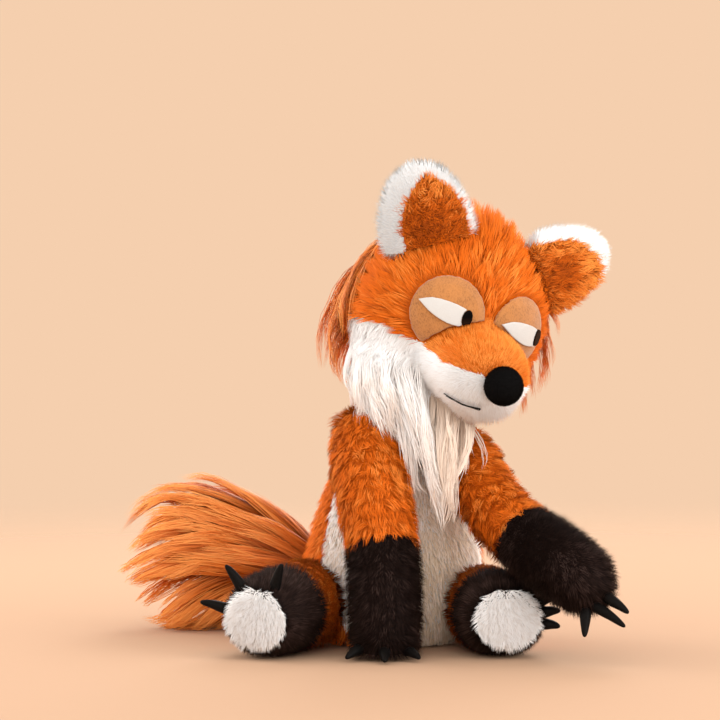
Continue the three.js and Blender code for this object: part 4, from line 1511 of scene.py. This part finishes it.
def make_world(stage):
    """The camera and mirrors see the backdrop. All else gets an even light."""
    world = bpy.data.worlds.new("studio")
    bpy.context.scene.world = world
    world.use_nodes = True
    nodes = world.node_tree.nodes
    nodes.clear()
    kinds = ("Background", "Background", "LightPath", "Math", "Math", "MixShader", "OutputWorld")
    seen, light, path, glossy, through, mix, out = (nodes.new(f"ShaderNode{kind}") for kind in kinds)
    seen.inputs["Color"].default_value = (*stage.backdrop, 1)
    light.inputs["Color"].default_value = (*rgb("fffdfa"), 1)
    light.inputs["Strength"].default_value = stage.sky
    glossy.operation = through.operation = "MAXIMUM"
    for source, target in (
        (path.outputs["Is Camera Ray"], glossy.inputs[0]),
        (path.outputs["Is Glossy Ray"], glossy.inputs[1]),
        (glossy.outputs[0], through.inputs[0]),
        (path.outputs["Is Transmission Ray"], through.inputs[1]),
        (through.outputs[0], mix.inputs[0]),
        (light.outputs[0], mix.inputs[1]),
        (seen.outputs[0], mix.inputs[2]),
        (mix.outputs[0], out.inputs[0]),
    ):
        world.node_tree.links.new(source, target)


def make_camera():
    """The photograph's own view."""
    cos_az, sin_az = math.cos(CAMERA_AZIMUTH), math.sin(CAMERA_AZIMUTH)
    cos_el, sin_el = math.cos(CAMERA_ELEVATION), math.sin(CAMERA_ELEVATION)
    right, ahead = Vector((cos_az, sin_az, 0)), Vector((-sin_az, cos_az, 0))
    look = ahead * cos_el - Vector(UP) * sin_el
    up = Vector(UP) * cos_el + ahead * sin_el
    x, y = ORIGIN_PIXEL
    target = right * (HALF_PICTURE - x) * PIXEL + up * (y - HALF_PICTURE) * PIXEL
    data = bpy.data.cameras.new("camera")
    data.sensor_width = 36
    data.lens = LENS
    data.clip_start, data.clip_end = 0.1, 30
    camera = add_object("camera", data)
    camera.location = target - look * CAMERA_DISTANCE
    camera.rotation_euler = Matrix((right, up, -look)).transposed().to_euler()
    bpy.context.scene.camera = camera


# Operators


class FOX_OT_linings(bpy.types.Operator):
    """Lays the stuffed cloth body under the fur"""

    bl_idname = "fox.linings"
    bl_label = "Linings"

    def execute(self, context):
        make_linings(context.scene.fox_fur)
        return {"FINISHED"}


class FOX_OT_body_fur(bpy.types.Operator):
    """Grows the fur of the torso and the neck"""

    bl_idname = "fox.body_fur"
    bl_label = "Body fur"

    def execute(self, context):
        grow_fur(context.scene.fox_fur, ("torso_lining", "neck_lining"))
        return {"FINISHED"}


class FOX_OT_head_fur(bpy.types.Operator):
    """Grows the fur of the head, the muzzle and the ears"""

    bl_idname = "fox.head_fur"
    bl_label = "Head fur"

    def execute(self, context):
        grow_fur(context.scene.fox_fur, ("head_lining", "ear_lining_right", "ear_lining_left"))
        return {"FINISHED"}


class FOX_OT_limb_fur(bpy.types.Operator):
    """Grows the fur of the arms and the legs"""

    bl_idname = "fox.limb_fur"
    bl_label = "Limb fur"

    def execute(self, context):
        names = [f"{limb}_lining_{side}" for limb in ("arm", "leg") for side in SIDES]
        grow_fur(context.scene.fox_fur, names)
        return {"FINISHED"}


class FOX_OT_long_hair(bpy.types.Operator):
    """Hangs the mane, the throat's hair and the beard"""

    bl_idname = "fox.long_hair"
    bl_label = "Mane and beard"

    def execute(self, context):
        make_mane(context.scene.fox_fur)
        make_throat_hair(context.scene.fox_fur)
        make_beard(context.scene.fox_fur)
        return {"FINISHED"}


class FOX_OT_tail(bpy.types.Operator):
    """Lays the long hair of the tail"""

    bl_idname = "fox.tail"
    bl_label = "Tail"

    def execute(self, context):
        make_tail(context.scene.fox_fur)
        return {"FINISHED"}


class FOX_OT_face(bpy.types.Operator):
    """Finishes the eyes, the nose and the mouth"""

    bl_idname = "fox.face"
    bl_label = "Face"

    def execute(self, context):
        make_face(context.scene.fox_face)
        return {"FINISHED"}


class FOX_OT_claws(bpy.types.Operator):
    """Finishes the claws"""

    bl_idname = "fox.claws"
    bl_label = "Claws"

    def execute(self, context):
        make_claws(context.scene.fox_face)
        return {"FINISHED"}


class FOX_OT_seat(bpy.types.Operator):
    """Weaves the cloth of the seat and of the pellet bag"""

    bl_idname = "fox.seat"
    bl_label = "Seat"

    def execute(self, context):
        make_seat()
        return {"FINISHED"}


class FOX_OT_stage(bpy.types.Operator):
    """Sets the floor, the lights and the camera"""

    bl_idname = "fox.stage"
    bl_label = "Stage"

    def execute(self, context):
        make_stage(context.scene.fox_stage)
        return {"FINISHED"}


STEPS = (
    FOX_OT_linings,
    FOX_OT_body_fur,
    FOX_OT_head_fur,
    FOX_OT_limb_fur,
    FOX_OT_long_hair,
    FOX_OT_tail,
    FOX_OT_face,
    FOX_OT_claws,
    FOX_OT_seat,
    FOX_OT_stage,
)


class FOX_PT_panel(bpy.types.Panel):
    bl_label = "Plush fox"
    bl_space_type = "VIEW_3D"
    bl_region_type = "UI"
    bl_category = "Plush fox"

    def draw(self, context):
        for step in STEPS:
            self.layout.operator(step.bl_idname)
        for group in (context.scene.fox_fur, context.scene.fox_face, context.scene.fox_stage):
            for name in group.__annotations__:
                self.layout.prop(group, name)


SETTINGS = {"fox_fur": FurSettings, "fox_face": FaceSettings, "fox_stage": StageSettings}
CLASSES = (*SETTINGS.values(), *STEPS, FOX_PT_panel)


def register():
    for made in CLASSES:
        bpy.utils.register_class(made)
    for name, group in SETTINGS.items():
        setattr(bpy.types.Scene, name, PointerProperty(type=group))


def unregister():
    for name in SETTINGS:
        delattr(bpy.types.Scene, name)
    for made in reversed(CLASSES):
        bpy.utils.unregister_class(made)


def main():
    register()
    for step in STEPS:
        area, name = step.bl_idname.split(".")
        getattr(getattr(bpy.ops, area), name)()


if __name__ == "__main__":
    main()
